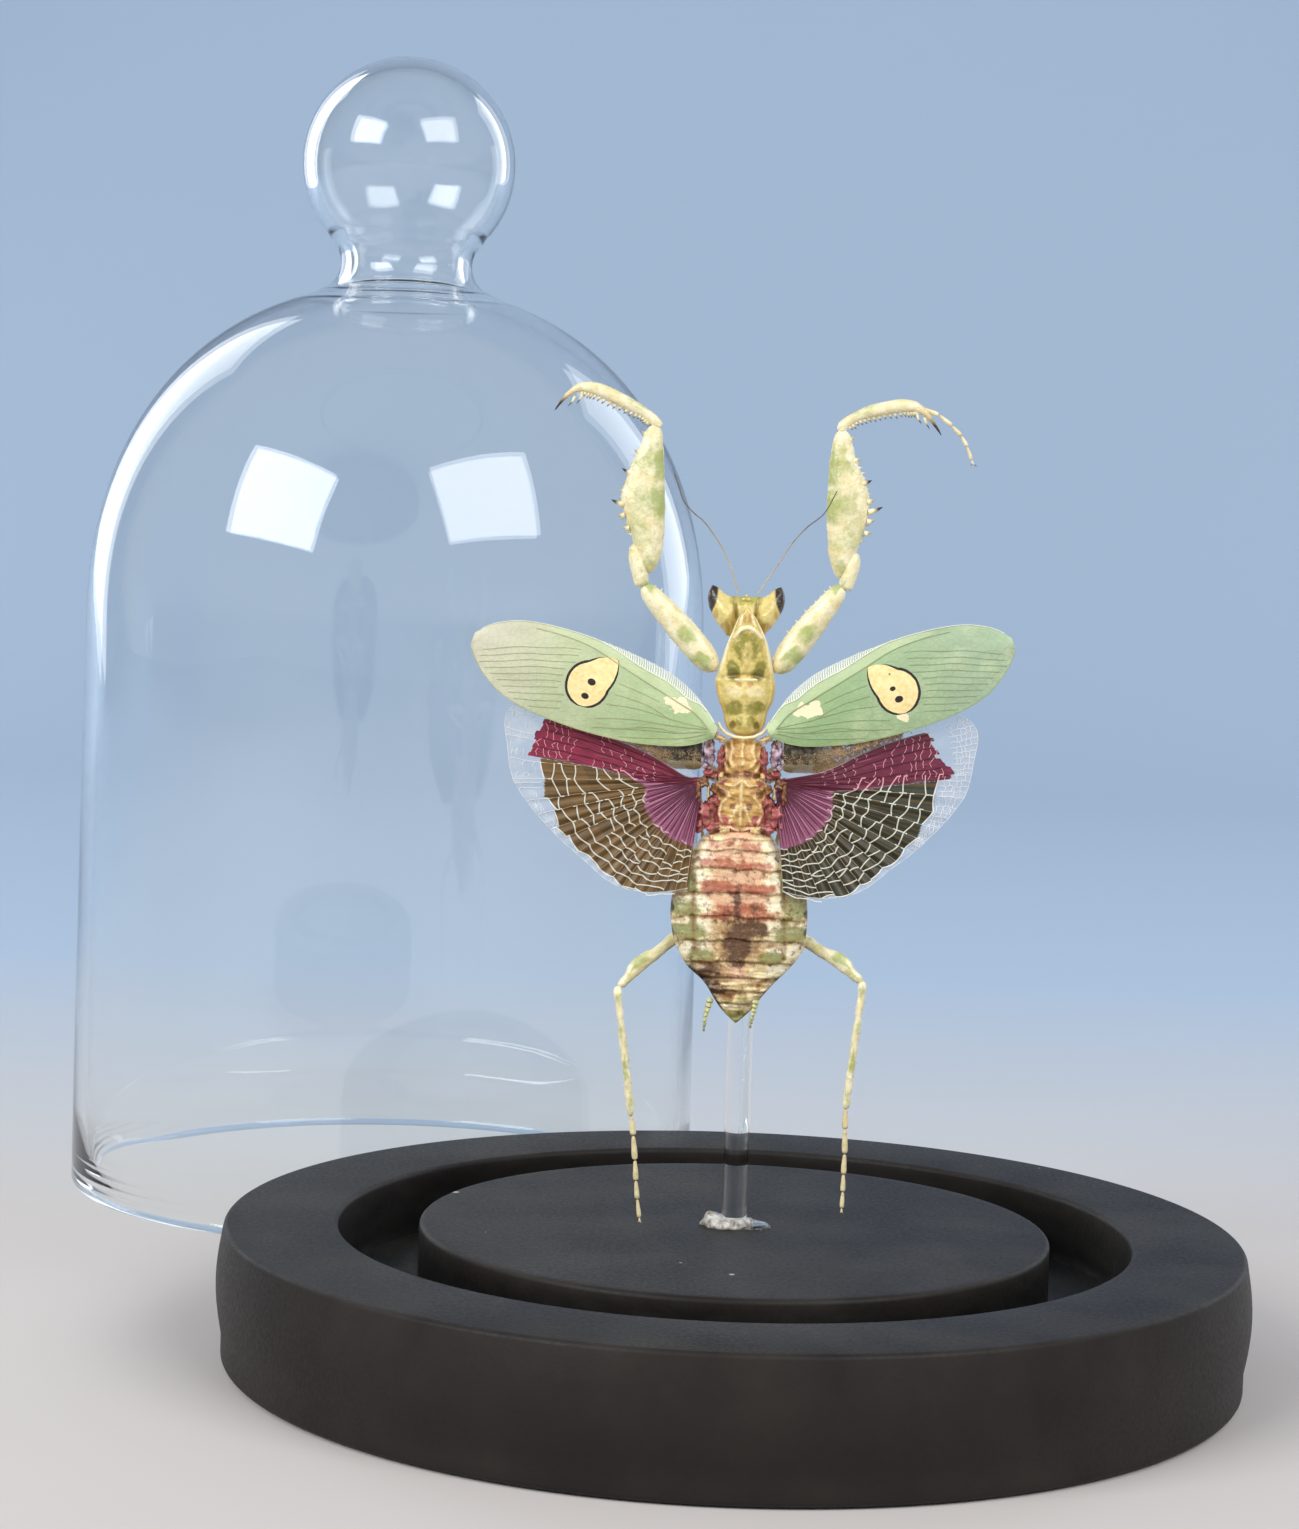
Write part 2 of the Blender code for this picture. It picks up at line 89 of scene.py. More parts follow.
def paint(red, green, blue):
    """A colour chip, 0 to 255 as on a screen, as the linear colour that a shader takes."""
    chips = (value / 255.0 for value in (red, green, blue))
    return (*(c / 12.92 if c <= 0.04045 else ((c + 0.055) / 1.055) ** 2.4 for c in chips), 1.0)


def put(tree, kind, wires=(), **settings):
    """Add a shader node, its inputs wired from other nodes' sockets or set to plain values."""
    made = tree.nodes.new("ShaderNode" + kind)
    for key, value in settings.items():
        setattr(made, key, value)
    for key, value in dict(wires).items():
        if isinstance(value, bpy.types.NodeSocket):
            tree.links.new(value, made.inputs[key])
        else:
            made.inputs[key].default_value = value
    return made


def blend(tree, share, under, over):
    """The colour under with over laid on it in the given share."""
    return put(tree, "Mix", {0: share, 6: under, 7: over}, data_type="RGBA").outputs[2]


def sum_of(tree, first, second, operation="ADD"):
    return put(tree, "Math", {0: first, 1: second}, operation=operation).outputs[0]


def times(tree, first, second):
    return sum_of(tree, first, second, "MULTIPLY")


def larger(tree, first, second):
    return sum_of(tree, first, second, "MAXIMUM")


def ramp(tree, value, low, high, start=0.0, end=1.0):
    """Value stretched so that low gives start and high gives end, and held at both."""
    wires = {"Value": value, "From Min": low, "From Max": high, "To Min": start, "To Max": end}
    return put(tree, "MapRange", wires).outputs[0]


def place_of(tree):
    return put(tree, "TexCoord").outputs["Object"]


def cloud(tree, scale, detail=3.0, where=None, roughness=0.55):
    """Soft random shading, its scale in clouds per metre."""
    where = where or place_of(tree)
    wires = {"Vector": where, "Scale": scale, "Detail": detail, "Roughness": roughness}
    return put(tree, "TexNoise", wires).outputs["Fac"]


def new_material(name, **settings):
    """A material, its node tree and its Principled shader, with plain settings on the shader."""
    material = bpy.data.materials.new(name)
    material.use_nodes = True
    tree = material.node_tree
    shader = tree.nodes["Principled BSDF"]
    for key, value in settings.items():
        shader.inputs[key.replace("_", " ")].default_value = value
    return material, tree, shader


def link_in(name, mesh, *materials):
    """The object for a finished mesh, in the scene, at the origin."""
    made = bpy.data.objects.new(name, mesh)
    for material in materials:
        mesh.materials.append(material)
    bpy.context.scene.collection.objects.link(made)
    return made


def make_sweep():
    """A flat sheet of paper that curves up behind the display into a wall."""
    shape = bmesh.new()
    floor = -0.0002
    start = shape.verts.new((-FLOOR_SIZE, -FLOOR_SIZE, floor))
    line = [start, shape.verts.new((-FLOOR_SIZE, SWEEP_START, floor))]
    steps = 16
    for i in range(1, steps + 1):
        turn = math.pi / 2 * i / steps
        line.append(shape.verts.new((-FLOOR_SIZE, SWEEP_START + SWEEP_RADIUS * math.sin(turn),
                                     floor + SWEEP_RADIUS * (1 - math.cos(turn)))))
    line.append(shape.verts.new((-FLOOR_SIZE, SWEEP_START + SWEEP_RADIUS, FLOOR_SIZE)))
    edges = [shape.edges.new(pair) for pair in zip(line, line[1:])]
    grown = bmesh.ops.extrude_edge_only(shape, edges=edges)["geom"]
    moved = [part for part in grown if isinstance(part, bmesh.types.BMVert)]
    bmesh.ops.translate(shape, verts=moved, vec=(2 * FLOOR_SIZE, 0, 0))
    bmesh.ops.recalc_face_normals(shape, faces=shape.faces)
    if shape.faces[0].normal.z < 0:
        bmesh.ops.reverse_faces(shape, faces=shape.faces)
    mesh = bpy.data.meshes.new("paper_sweep")
    shape.to_mesh(mesh)
    shape.free()
    mesh.shade_smooth()
    material, tree, shader = new_material("pale_paper", Roughness=0.85)
    depth = put(tree, "SeparateXYZ", {0: place_of(tree)}).outputs["Y"]
    colour = blend(tree, ramp(tree, depth, *PAPER_FADE), paint(*PAPER_NEAR), paint(*PAPER_FAR))
    tree.links.new(colour, shader.inputs["Base Color"])
    link_in("paper_sweep", mesh, material)


def make_lamps():
    """The lamps, each turned towards the display, and a plain pale sky all round."""
    target = Vector((0.0, 0.0, (cad_low.z + cad_high.z) / 2))
    for name, (azimuth, height, width, tall, power) in LAMPS.items():
        turn, rise = math.radians(azimuth), math.radians(height)
        aim = Vector((math.sin(turn) * math.cos(rise), -math.cos(turn) * math.cos(rise), math.sin(rise)))
        lamp = bpy.data.lights.new(name, "AREA")
        lamp.shape = "RECTANGLE"
        lamp.size, lamp.size_y = width, tall
        lamp.energy = power
        stand = bpy.data.objects.new(name, lamp)
        stand.location = target + aim * LAMP_DISTANCE
        stand.rotation_euler = aim.to_track_quat("Z", "Y").to_euler()
        stand.visible_camera = False
        bpy.context.scene.collection.objects.link(stand)
    world = bpy.data.worlds.new("pale_sky")
    world.use_nodes = True
    sky = world.node_tree.nodes["Background"]
    sky.inputs["Color"].default_value = paint(*SKY)
    sky.inputs["Strength"].default_value = SKY_STRENGTH
    bpy.context.scene.world = world


def make_camera():
    yaw, pitch, roll = (math.radians(angle) for angle in CAMERA_TURN)
    camera = bpy.data.objects.new("camera", bpy.data.cameras.new("camera"))
    camera.data.lens = CAMERA_LENS
    camera.data.clip_start = 0.01
    turn = Matrix.Rotation(yaw, 4, "Z") @ Matrix.Rotation(math.pi / 2 - pitch, 4, "X")
    camera.matrix_world = (Matrix.Translation(Vector(CAMERA_PLACE) * MM) @ turn
                           @ Matrix.Rotation(roll, 4, "Z"))
    bpy.context.scene.collection.objects.link(camera)
    bpy.context.scene.camera = camera
    bpy.context.scene.view_settings.view_transform = "Standard"


make_sweep()
make_lamps()
make_camera()


# ---------------------------------------------------------------- base
# One disc of wood turned on a lathe, with a ring groove for the dome's rim and a hole drilled for the
# rod, sprayed matt black. Its arrises are eased, the groove is left rougher, and dust has settled on it.
GROOVE_INNER, GROOVE_OUTER, GROOVE_DEPTH = 31.0, 38.9, 6.5
ARRIS = 0.55
BASE_STEPS = 240
HOLE_RADIUS, HOLE_DEPTH = 1.55, 5.0
SIDE_SWELL = 0.6
GROOVE_ROUGHNESS = 0.1
# The groove's paint is darker, as painted shade down in it; these say where that fades out: radius and
# height, in mm.
GROOVE_SHADE_REACH, GROOVE_SHADE_HEIGHT = (39.5, 43.0), (10.5, 12.2)


def size_of(node):
    """Half width, height and centre of a CAD node's box, the first two in millimetres."""
    low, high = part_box(node)
    return (high.x - low.x) / 2 / MM, high.z / MM, (low + high) / 2


def arc(centre, radius, start, end, steps):
    """Points (radius, height) on an arc, its angles in degrees from the outward direction."""
    turns = [math.radians(start + (end - start) * i / steps) for i in range(steps + 1)]
    return [(centre[0] + radius * math.cos(t), centre[1] + radius * math.sin(t)) for t in turns]


def turned(outline, steps, closed=False):
    """A shape turned about the vertical from an outline of (radius, height) in millimetres."""
    shape = bmesh.new()
    dots = [shape.verts.new((radius * MM, 0.0, height * MM)) for radius, height in outline]
    ring = dots + dots[:1] if closed else dots
    lines = [shape.edges.new(pair) for pair in zip(ring, ring[1:])]
    bmesh.ops.spin(shape, geom=dots + lines, cent=(0, 0, 0), axis=(0, 0, 1), dvec=(0, 0, 0),
                   angle=2 * math.pi, steps=steps, use_merge=True, use_duplicate=False)
    bmesh.ops.remove_doubles(shape, verts=shape.verts, dist=0.000001)
    bmesh.ops.recalc_face_normals(shape, faces=shape.faces)
    return shape


def finish(name, shape, materials, slot, *nodes, sharp=None):
    """Make the mesh an object that rides on the body and stands for its CAD nodes. Its slot is not used."""
    bmesh.ops.recalc_face_normals(shape, faces=shape.faces)
    mesh = bpy.data.meshes.new(name)
    shape.to_mesh(mesh)
    shape.free()
    mesh.shade_smooth()
    if sharp:
        mesh.set_sharp_from_angle(angle=math.radians(sharp))
    piece = link_in(name, mesh, *materials)
    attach(piece, "root")
    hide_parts(*nodes)


def new_group(name, inputs, outputs):
    """A shader group with named inputs, each with its kind and value, and named outputs."""
    tree = bpy.data.node_groups.new(name, "ShaderNodeTree")
    for label, value in inputs.items():
        kind = "Color" if isinstance(value, tuple) else "Float"
        socket = tree.interface.new_socket(label, in_out="INPUT", socket_type="NodeSocket" + kind)
        socket.default_value = value
    for label, kind in outputs.items():
        tree.interface.new_socket(label, in_out="OUTPUT", socket_type="NodeSocket" + kind)
    source, sink = tree.nodes.new("NodeGroupInput"), tree.nodes.new("NodeGroupOutput")
    return tree, source.outputs, sink.inputs


def use_group(tree, group, **wires):
    made = put(tree, "Group", node_tree=group)
    for key, value in wires.items():
        socket = made.inputs[key]
        if isinstance(value, bpy.types.NodeSocket):
            tree.links.new(value, socket)
        else:
            socket.default_value = value
    return made.outputs


def bump(tree, height, strength, distance):
    wires = {"Height": height, "Strength": strength, "Distance": distance}
    return put(tree, "Bump", wires).outputs["Normal"]


def make_dust_group():
    """Scattered pale specks and a thin haze of dust, thicker on faces that look up."""
    tree, given, made = new_group("settled_dust", {"Specks": 700.0, "Amount": 0.5, "Haze": 0.2},
                                  {"Mask": "Float"})
    cells = put(tree, "TexVoronoi", {"Vector": place_of(tree), "Scale": given["Specks"]})
    chance = put(tree, "SeparateColor", {0: cells.outputs["Color"]}).outputs[0]
    size = ramp(tree, chance, sum_of(tree, 1.0, given["Amount"], "SUBTRACT"), 1.0, 0.0, 0.16)
    speck = sum_of(tree, size, cells.outputs["Distance"], "GREATER_THAN")
    up = put(tree, "SeparateXYZ", {0: put(tree, "NewGeometry").outputs["Normal"]}).outputs["Z"]
    haze = times(tree, ramp(tree, cloud(tree, 90.0, 5.0), 0.35, 0.8), given["Haze"])
    haze = times(tree, haze, ramp(tree, up, -0.2, 0.9, 0.25, 1.0))
    tree.links.new(larger(tree, speck, haze), made["Mask"])
    return tree


dust_group = make_dust_group()


def make_base_material():
    material, tree, shader = new_material("matt_black_paint", Roughness=0.55, Specular_IOR_Level=0.22)
    grain = cloud(tree, 2600.0, 2.0)
    worn = cloud(tree, 60.0, 4.0)
    black = blend(tree, worn, paint(22, 18, 17), paint(35, 31, 29))
    reach = put(tree, "VectorMath", {0: place_of(tree)}, operation="LENGTH").outputs["Value"]
    height = put(tree, "SeparateXYZ", {0: place_of(tree)}).outputs["Z"]
    inward = ramp(tree, reach, *(edge * MM for edge in GROOVE_SHADE_REACH), 1.0, 0.0)
    below = ramp(tree, height, *(edge * MM for edge in GROOVE_SHADE_HEIGHT), 1.0, 0.0)
    in_groove = times(tree, inward, below)
    # Painted shade: the paint is darker inside the groove, for the shade down in it.
    black = blend(tree, in_groove, black, paint(9, 8, 8))
    mask = use_group(tree, dust_group, Specks=420.0, Amount=0.035, Haze=0.05)["Mask"]
    colour = blend(tree, mask, black, paint(196, 188, 172))
    tree.links.new(colour, shader.inputs["Base Color"])
    tree.links.new(ramp(tree, grain, 0.3, 0.7, 0.46, 0.62), shader.inputs["Roughness"])
    tree.links.new(bump(tree, grain, 0.35, 0.00006), shader.inputs["Normal"])
    return material


def make_base():
    radius, top, _ = size_of("base")
    floor = top - GROOVE_DEPTH
    outer = radius - SIDE_SWELL
    outline = [(0.0, top - HOLE_DEPTH), (HOLE_RADIUS, top - HOLE_DEPTH), (HOLE_RADIUS, top - 0.1),
               (HOLE_RADIUS + 0.12, top)]
    outline += [(HOLE_RADIUS + (GROOVE_INNER - HOLE_RADIUS) * i / 24, top) for i in range(1, 24)]
    outline += arc((GROOVE_INNER - ARRIS, top - ARRIS), ARRIS, 90, 0, 5)
    outline += [(GROOVE_INNER, top - GROOVE_DEPTH * i / 12) for i in range(2, 12)]
    outline += [(GROOVE_INNER + 0.15, floor), (GROOVE_OUTER - 0.15, floor)]
    outline += [(GROOVE_OUTER, floor + GROOVE_DEPTH * i / 12) for i in range(1, 11)]
    outline += arc((GROOVE_OUTER + ARRIS, top - ARRIS), ARRIS, 180, 90, 5)
    outline += arc((outer - ARRIS, top - ARRIS), ARRIS, 90, 8, 6)
    for i in range(1, 12):
        swell = SIDE_SWELL * math.sin(math.pi * min(1.0, 1.2 * i / 12))
        outline.append((outer + swell, top - ARRIS - (top - 2 * ARRIS) * i / 12))
    outline += arc((outer - ARRIS, ARRIS), ARRIS, 0, -90, 5)
    outline += [(0.0, 0.0)]
    shape = turned(outline, BASE_STEPS)
    for dot in shape.verts:
        reach = math.hypot(dot.co.x, dot.co.y) / MM
        in_groove = GROOVE_INNER - 0.1 < reach < GROOVE_OUTER + 0.1 and dot.co.z / MM < top - ARRIS
        if in_groove:
            dot.co += noise.noise_vector(dot.co * 900.0) * GROOVE_ROUGHNESS * MM
    finish("turned_base", shape, [make_base_material()], "black_wood", "base", sharp=40.0)


make_base()


# ---------------------------------------------------------------- rod
# A length of clear polished acrylic rod, cut square, its ends eased, standing in the drilled hole.
CLEAR_INDEX = 1.49


def make_clear(name, tint, index, roughness=0.0):
    """Clear plastic or glass, which lets soft light straight through to what stands behind it."""
    material, tree, shader = new_material(name, Roughness=roughness, IOR=index, Transmission_Weight=1.0)
    shader.inputs["Base Color"].default_value = tint
    rays = put(tree, "LightPath").outputs
    soft_ray = larger(tree, rays["Is Shadow Ray"], rays["Is Diffuse Ray"])
    clear = put(tree, "BsdfTransparent", {"Color": tint}).outputs[0]
    both = put(tree, "MixShader", {0: soft_ray, 1: shader.outputs[0], 2: clear}).outputs[0]
    tree.links.new(both, tree.nodes["Material Output"].inputs["Surface"])
    return material, tree, shader


def make_rod():
    radius, top, _ = size_of("rod")
    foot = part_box("rod")[0].z / MM
    ease = 0.12
    outline = [(0.0, top)] + arc((radius - ease, top - ease), ease, 90, 0, 4)
    outline += [(radius, foot + (top - foot) * i / 12) for i in range(11, 0, -1)]
    outline += arc((radius - ease, foot + ease), ease, 0, -90, 4) + [(0.0, foot)]
    material = make_clear("clear_acrylic", (0.97, 0.98, 0.98, 1.0), CLEAR_INDEX)[0]
    finish("acrylic_rod", turned(outline, 64), [material], "clear_rod", "rod", sharp=40.0)


make_rod()


# ---------------------------------------------------------------- glue at the rod's foot
# A bead of clear glue run round the rod where it enters the disc. It set whitish and lumpy on the left
# and spread into a thin glossy film over the edge of the drilled hole on the right.
def lobe(turn, middle, spread):
    """How near turn is to middle, both in degrees: 1 there, falling to 0 past the spread."""
    away = abs((math.degrees(turn) - middle + 180.0) % 360.0 - 180.0)
    return math.exp(-(away / spread) ** 2)


def glue_ring(inner, reach, rise, bottom, wander):
    """A lumpy ring of glue: reach and rise give its width and height towards each direction."""
    outline = [(inner, bottom)] + [(inner + i / 10, bottom) for i in range(1, 10)]
    outline += arc((inner + 0.5, bottom), 0.5, 0, 180, 14)
    shape = turned(outline, 96, closed=True)
    for dot in shape.verts:
        turn = math.atan2(dot.co.y, dot.co.x)
        away = (math.hypot(dot.co.x, dot.co.y) / MM - inner)
        up = (dot.co.z / MM - bottom) * 2.0
        lump = 1.0 + wander * noise.noise(dot.co * 1400.0)
        out = inner + away * reach(turn) * lump
        dot.co = Vector((math.cos(turn) * out, math.sin(turn) * out, bottom + up * rise(turn) * lump)) * MM
    return shape


def make_glue_materials():
    milky, tree, shader = new_material("set_glue", Roughness=0.16, IOR=1.46, Transmission_Weight=0.35)
    whiteness = ramp(tree, cloud(tree, 1500.0, 3.0), 0.35, 0.65)
    colour = blend(tree, whiteness, paint(150, 140, 126), paint(250, 248, 242))
    tree.links.new(colour, shader.inputs["Base Color"])
    tree.links.new(bump(tree, cloud(tree, 3000.0), 0.4, 0.0001), shader.inputs["Normal"])
    return milky, make_clear("glue_film", (0.9, 0.9, 0.88, 1.0), 1.46, 0.03)[0]


set_glue, glue_film = make_glue_materials()


def make_glue_foot():
    radius, _, _ = size_of("rod")
    bottom = size_of("base")[1] + 0.02
    bead = glue_ring(radius + 0.03, lambda t: 0.75 + 1.1 * lobe(t, 195, 45) + 0.75 * lobe(t, 255, 40),
                     lambda t: 0.5 + 0.75 * lobe(t, 200, 60) + 0.35 * lobe(t, 300, 50), bottom, 0.3)
    spill = glue_ring(radius + 0.05, lambda t: 0.9 + 1.6 * lobe(t, -20, 42) + 0.9 * lobe(t, 60, 40),
                      lambda t: 0.22 + 0.08 * lobe(t, -20, 50), bottom, 0.15)
    mesh = bpy.data.meshes.new("spill")
    spill.to_mesh(mesh)
    spill.free()
    old = len(bead.faces)
    bead.from_mesh(mesh)
    bead.faces.ensure_lookup_table()
    for face in bead.faces[old:]:
        face.material_index = 1
    bpy.data.meshes.remove(mesh)
    finish("glue_bead_foot", bead, [set_glue, glue_film], "clear_glue", "glue_foot")


make_glue_foot()


# ---------------------------------------------------------------- dome
# Clear glass blown in one: a straight body on a fire-polished rim bead, a round shoulder, a waisted neck
# and a hollow knob. It stands off its base, on the table. The wall is a little uneven, as blown glass is.
GLASS_INDEX = 1.47
WALL = 1.6
RIM_BEAD = 1.15
SHOULDER_START, SHOULDER_RISE, SHOULDER_POWER = 68.0, 42.5, 2.2
SHOULDER_NARROWING = 0.4
NECK_CENTRE, NECK_RADIUS = (11.6, 113.1), 3.6
NECK_ARC = (130.0, 255.0)
KNOB_DROP = 12.95
DOME_STEPS = 160


def glass_face(inset, neck_radius, knob_radius, knob_middle, shoulder):
    """One face of the glass, from the top of the knob to the start of the straight body."""
    waist = NECK_CENTRE[1] + neck_radius * math.sin(math.radians(NECK_ARC[0]))
    low = math.degrees(math.asin((waist - knob_middle) / knob_radius))
    outline = arc((0.0, knob_middle), knob_radius, 90, low, 36)[:-1]
    outline += arc(NECK_CENTRE, neck_radius, *NECK_ARC, 16)
    half, rise = shoulder - inset, SHOULDER_RISE - inset
    first = math.asin(outline[-1][0] / half)
    for i in range(1, 33):
        across = math.sin(first + (math.pi / 2 - first) * i / 32)
        up = max(0.0, 1.0 - across ** SHOULDER_POWER) ** (1.0 / SHOULDER_POWER)
        outline.append((half * across, SHOULDER_START + rise * up))
    return outline


def make_dome():
    rim, top, centre = size_of("dome")
    shoulder = rim - SHOULDER_NARROWING
    middle = top - KNOB_DROP
    outside = glass_face(0.0, NECK_RADIUS, KNOB_DROP, middle, shoulder)
    inside = glass_face(WALL, NECK_RADIUS + WALL, KNOB_DROP - WALL * 0.85, middle, shoulder)
    body = [(shoulder + SHOULDER_NARROWING * i / 14, SHOULDER_START * (1 - i / 14)) for i in range(1, 14)]
    body = [(radius, height) for radius, height in body if height > RIM_BEAD * 2]
    bead = arc((rim - RIM_BEAD, RIM_BEAD), RIM_BEAD, 20, -200, 14)
    inner_body = [(radius - WALL, height) for radius, height in reversed(body)]
    shape = turned(outside + body + bead + inner_body + inside[::-1], DOME_STEPS)
    bmesh.ops.translate(shape, verts=shape.verts, vec=(centre.x, centre.y, 0.0))
    material, tree, shader = make_clear("blown_glass", (0.975, 0.99, 0.99, 1.0), GLASS_INDEX)
    wave = cloud(tree, 28.0, 1.0)
    tree.links.new(bump(tree, wave, 0.25, 0.001), shader.inputs["Normal"])
    finish("blown_dome", shape, [material], "dome_glass", "dome")


make_dome()


# ---------------------------------------------------------------- pronotum
# The long shield over the first part of the thorax: one hard plate, olive on gold, with cream margins,
# a keel down its middle, a cross furrow at the shoulders and a thick rim round its hind end.
thorax_low, thorax_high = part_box("thorax")
MIDLINE = (thorax_low.x + thorax_high.x) / 2
PLANE = (thorax_low.y + thorax_high.y) / 2
# Rows of the body's tables: height, sideways offset, half width, depth and half thickness.
PRONOTUM = ((61.45, 0.1, 0.7, -0.3, 0.8), (61.8, 0.1, 1.4, -0.2, 1.1), (62.2, 0.1, 1.8, -0.15, 1.25),
            (62.9, 0.1, 2.0, -0.1, 1.45), (63.9, 0.1, 2.15, 0.0, 1.55), (65.0, 0.1, 2.62, 0.0, 1.65),
            (66.2, 0.05, 2.87, 0.0, 1.7), (66.9, 0.0, 2.88, 0.0, 1.7), (68.0, 0.05, 2.62, -0.15, 1.6),
            (69.9, 0.1, 2.13, -0.4, 1.3), (70.9, 0.1, 1.8, -0.8, 0.9), (71.6, 0.1, 1.5, -1.15, 0.55),
            (73.0, 0.0, 0.9, -1.45, 0.4), (73.6, 0.0, 0.5, -1.5, 0.32), (74.05, 0.0, 0.3, -1.5, 0.25))
FURROW = 67.35
# Along the rim: sideways, height and depth.
PRONOTUM_RIM = ((-2.45, 62.95, -1.75), (-2.2, 62.45, -1.75), (-1.7, 61.95, -1.6), (-0.9, 61.6, -1.45),
                (0.1, 61.5, -1.4), (1.1, 61.65, -1.45), (1.85, 62.05, -1.6), (2.3, 62.6, -1.75),
                (2.5, 63.1, -1.75))


def insect(side, sideways, depth, height):
    """A point of the insect, in metres, from its distance out from the midline, depth and height."""
    sign = -1.0 if side == "left" else 1.0
    return Vector((MIDLINE + sign * sideways * MM, PLANE + depth * MM, height * MM))


def between(table, place):
    """The row of a table at place, its first column, with every column joined by a smooth curve."""
    last = len(table) - 1
    index = 0
    while index < last - 1 and table[index + 1][0] <= place:
        index += 1
    rows = [table[min(max(index + step, 0), last)] for step in (-1, 0, 1, 2)]
    before, start, end, after = rows
    span = end[0] - start[0]
    t = (place - start[0]) / span
    here = []
    for b, s, e, a in zip(before, start, end, after):
        leave = (e - b) / (end[0] - before[0]) * span
        arrive = (a - s) / (after[0] - start[0]) * span
        here.append((2 * t ** 3 - 3 * t ** 2 + 1) * s + (t ** 3 - 2 * t ** 2 + t) * leave
                    + (3 * t ** 2 - 2 * t ** 3) * e + (t ** 3 - t ** 2) * arrive)
    return here


def near(value, middle, width):
    """A soft hill: 1 at middle, falling away over width."""
    return math.exp(-((value - middle) / width) ** 2)


def held(value):
    """Value held between 0 and 1."""
    return min(1.0, max(0.0, value))


def step_up(value, low, high):
    """0 below low, 1 above high, and a smooth rise between them."""
    t = held((value - low) / (high - low))
    return t * t * (3 - 2 * t)


def spot(x, z, middle_x, middle_z, half_x, half_z):
    """1 inside an oval patch and 0 outside it, with a soft edge that is 0.5 on the oval."""
    return 1.0 - step_up(math.hypot((x - middle_x) / half_x, (z - middle_z) / half_z), 0.6, 1.4)


def warp(x, z, amount, seed=0.0):
    """A place on the body moved a little at random, so that markings get uneven outlines."""
    drift = noise.noise_vector(Vector((x * 1.1, z * 1.1, seed))) * amount
    drift += noise.noise_vector(Vector((x * 3.1, z * 3.1, seed + 5))) * amount * 0.5
    return x + drift.x, z + drift.y


def bar_mark(x, z, bars, soft=0.3):
    """The strongest of several level bars, each (height, half height, left end, right end, strength)."""
    value = 0.0
    for middle, half, left, right, strength in bars:
        ends = step_up(x, left - soft, left + soft) * (1 - step_up(x, right - soft, right + soft))
        level = 1 - step_up(abs(z - middle), half - soft * 0.6, half + soft * 0.6)
        value = max(value, strength * ends * level)
    return value


def oval_mark(x, z, ovals):
    """The strongest of several oval patches, each (sideways, height, half width, half height, strength)."""
    return max(strength * spot(x, z, a, b, c, d) for a, b, c, d, strength in ovals)


def blunt(t, power):
    """How wide a body with rounded ends is at t along it, as a share of its full width."""
    return math.sqrt(max(0.0, 1.0 - abs(2 * t - 1) ** power))


def begin(*marks):
    """An empty shape whose points carry the named marks, which the materials read."""
    shape = bmesh.new()
    for mark in marks:
        shape.verts.layers.float.new(mark)
    return shape


def set_marks(shape, dot, marks):
    """Give one point of a shape the values of its marks."""
    for mark, value in marks.items():
        dot[shape.verts.layers.float[mark]] = value


def mould(shape, rings, sides, place):
    """Add a closed body: a ball whose points go where place(t, angle) says, t from root to tip."""
    made = bmesh.ops.create_uvsphere(shape, u_segments=sides, v_segments=rings, radius=1.0)["verts"]
    for dot in made:
        t = math.acos(max(-1.0, min(1.0, dot.co.z))) / math.pi
        dot.co, marks = place(t, math.atan2(dot.co.y, dot.co.x))
        set_marks(shape, dot, marks)


def body(shape, rings, sides, table, relief, marks, power=12, stray=0.16):
    """Mould a plate of the body from its table, raised by relief(x, z, share) mm on the back.

    Marks get the same place moved by up to stray, and hollows get a mark of painted shade, darker the lower
    they lie.
    """
    low, high = table[0][0], table[-1][0]

    def place(t, angle):
        z = high + (low - high) * t
        _, offset, half, depth, thick = between(table, z)
        share, dip = math.cos(angle), math.sin(angle)
        x = offset + half * share * blunt(t, power)
        y = depth + thick * dip * blunt(t, power)
        if dip > 0.25:
            return insect("right", x, y, z), {}
        raised = relief(x - offset, z, share)
        y -= raised * held(-dip * 2.5) * blunt(t, power)
        found = marks(*warp(x - offset, z, stray), share)
        # Painted shade: the lower the relief, the more of the hollows' dark brown is laid on.
        found["shaded_fold"] = held(0.12 - raised * 2.6)
        return insect("right", x, y, z), found

    mould(shape, rings, sides, place)


def threads(lines, width, sides=6, taper=None):
    """A mesh of thin round threads, in metres, along lists of points. Width is in millimetres."""
    curve = bpy.data.curves.new("threads", "CURVE")
    curve.dimensions = "3D"
    curve.bevel_depth = width / 2 * MM
    curve.bevel_resolution = sides // 2 - 2
    curve.use_fill_caps = True
    for line in lines:
        spline = curve.splines.new("POLY")
        spline.points.add(len(line) - 1)
        for i, (dot, point) in enumerate(zip(spline.points, line)):
            dot.co = (*point, 1.0)
            dot.radius = 1.0 if taper is None else 1.0 + (taper - 1.0) * i / (len(line) - 1)
    carrier = bpy.data.objects.new("threads", curve)
    mesh = bpy.data.meshes.new_from_object(carrier)
    bpy.data.objects.remove(carrier)
    bpy.data.curves.remove(curve)
    return mesh


def add_threads(shape, lines, width, material=0, sides=6, taper=None, **marks):
    """Join threads to a shape, as the material slot given and with the marks given."""
    mesh = threads(lines, width, sides, taper)
    old_dots, old_faces = len(shape.verts), len(shape.faces)
    shape.from_mesh(mesh)
    bpy.data.meshes.remove(mesh)
    shape.verts.ensure_lookup_table()
    shape.faces.ensure_lookup_table()
    for face in shape.faces[old_faces:]:
        face.material_index = material
    for mark, value in marks.items():
        layer = shape.verts.layers.float[mark]
        for dot in shape.verts[old_dots:]:
            dot[layer] = value


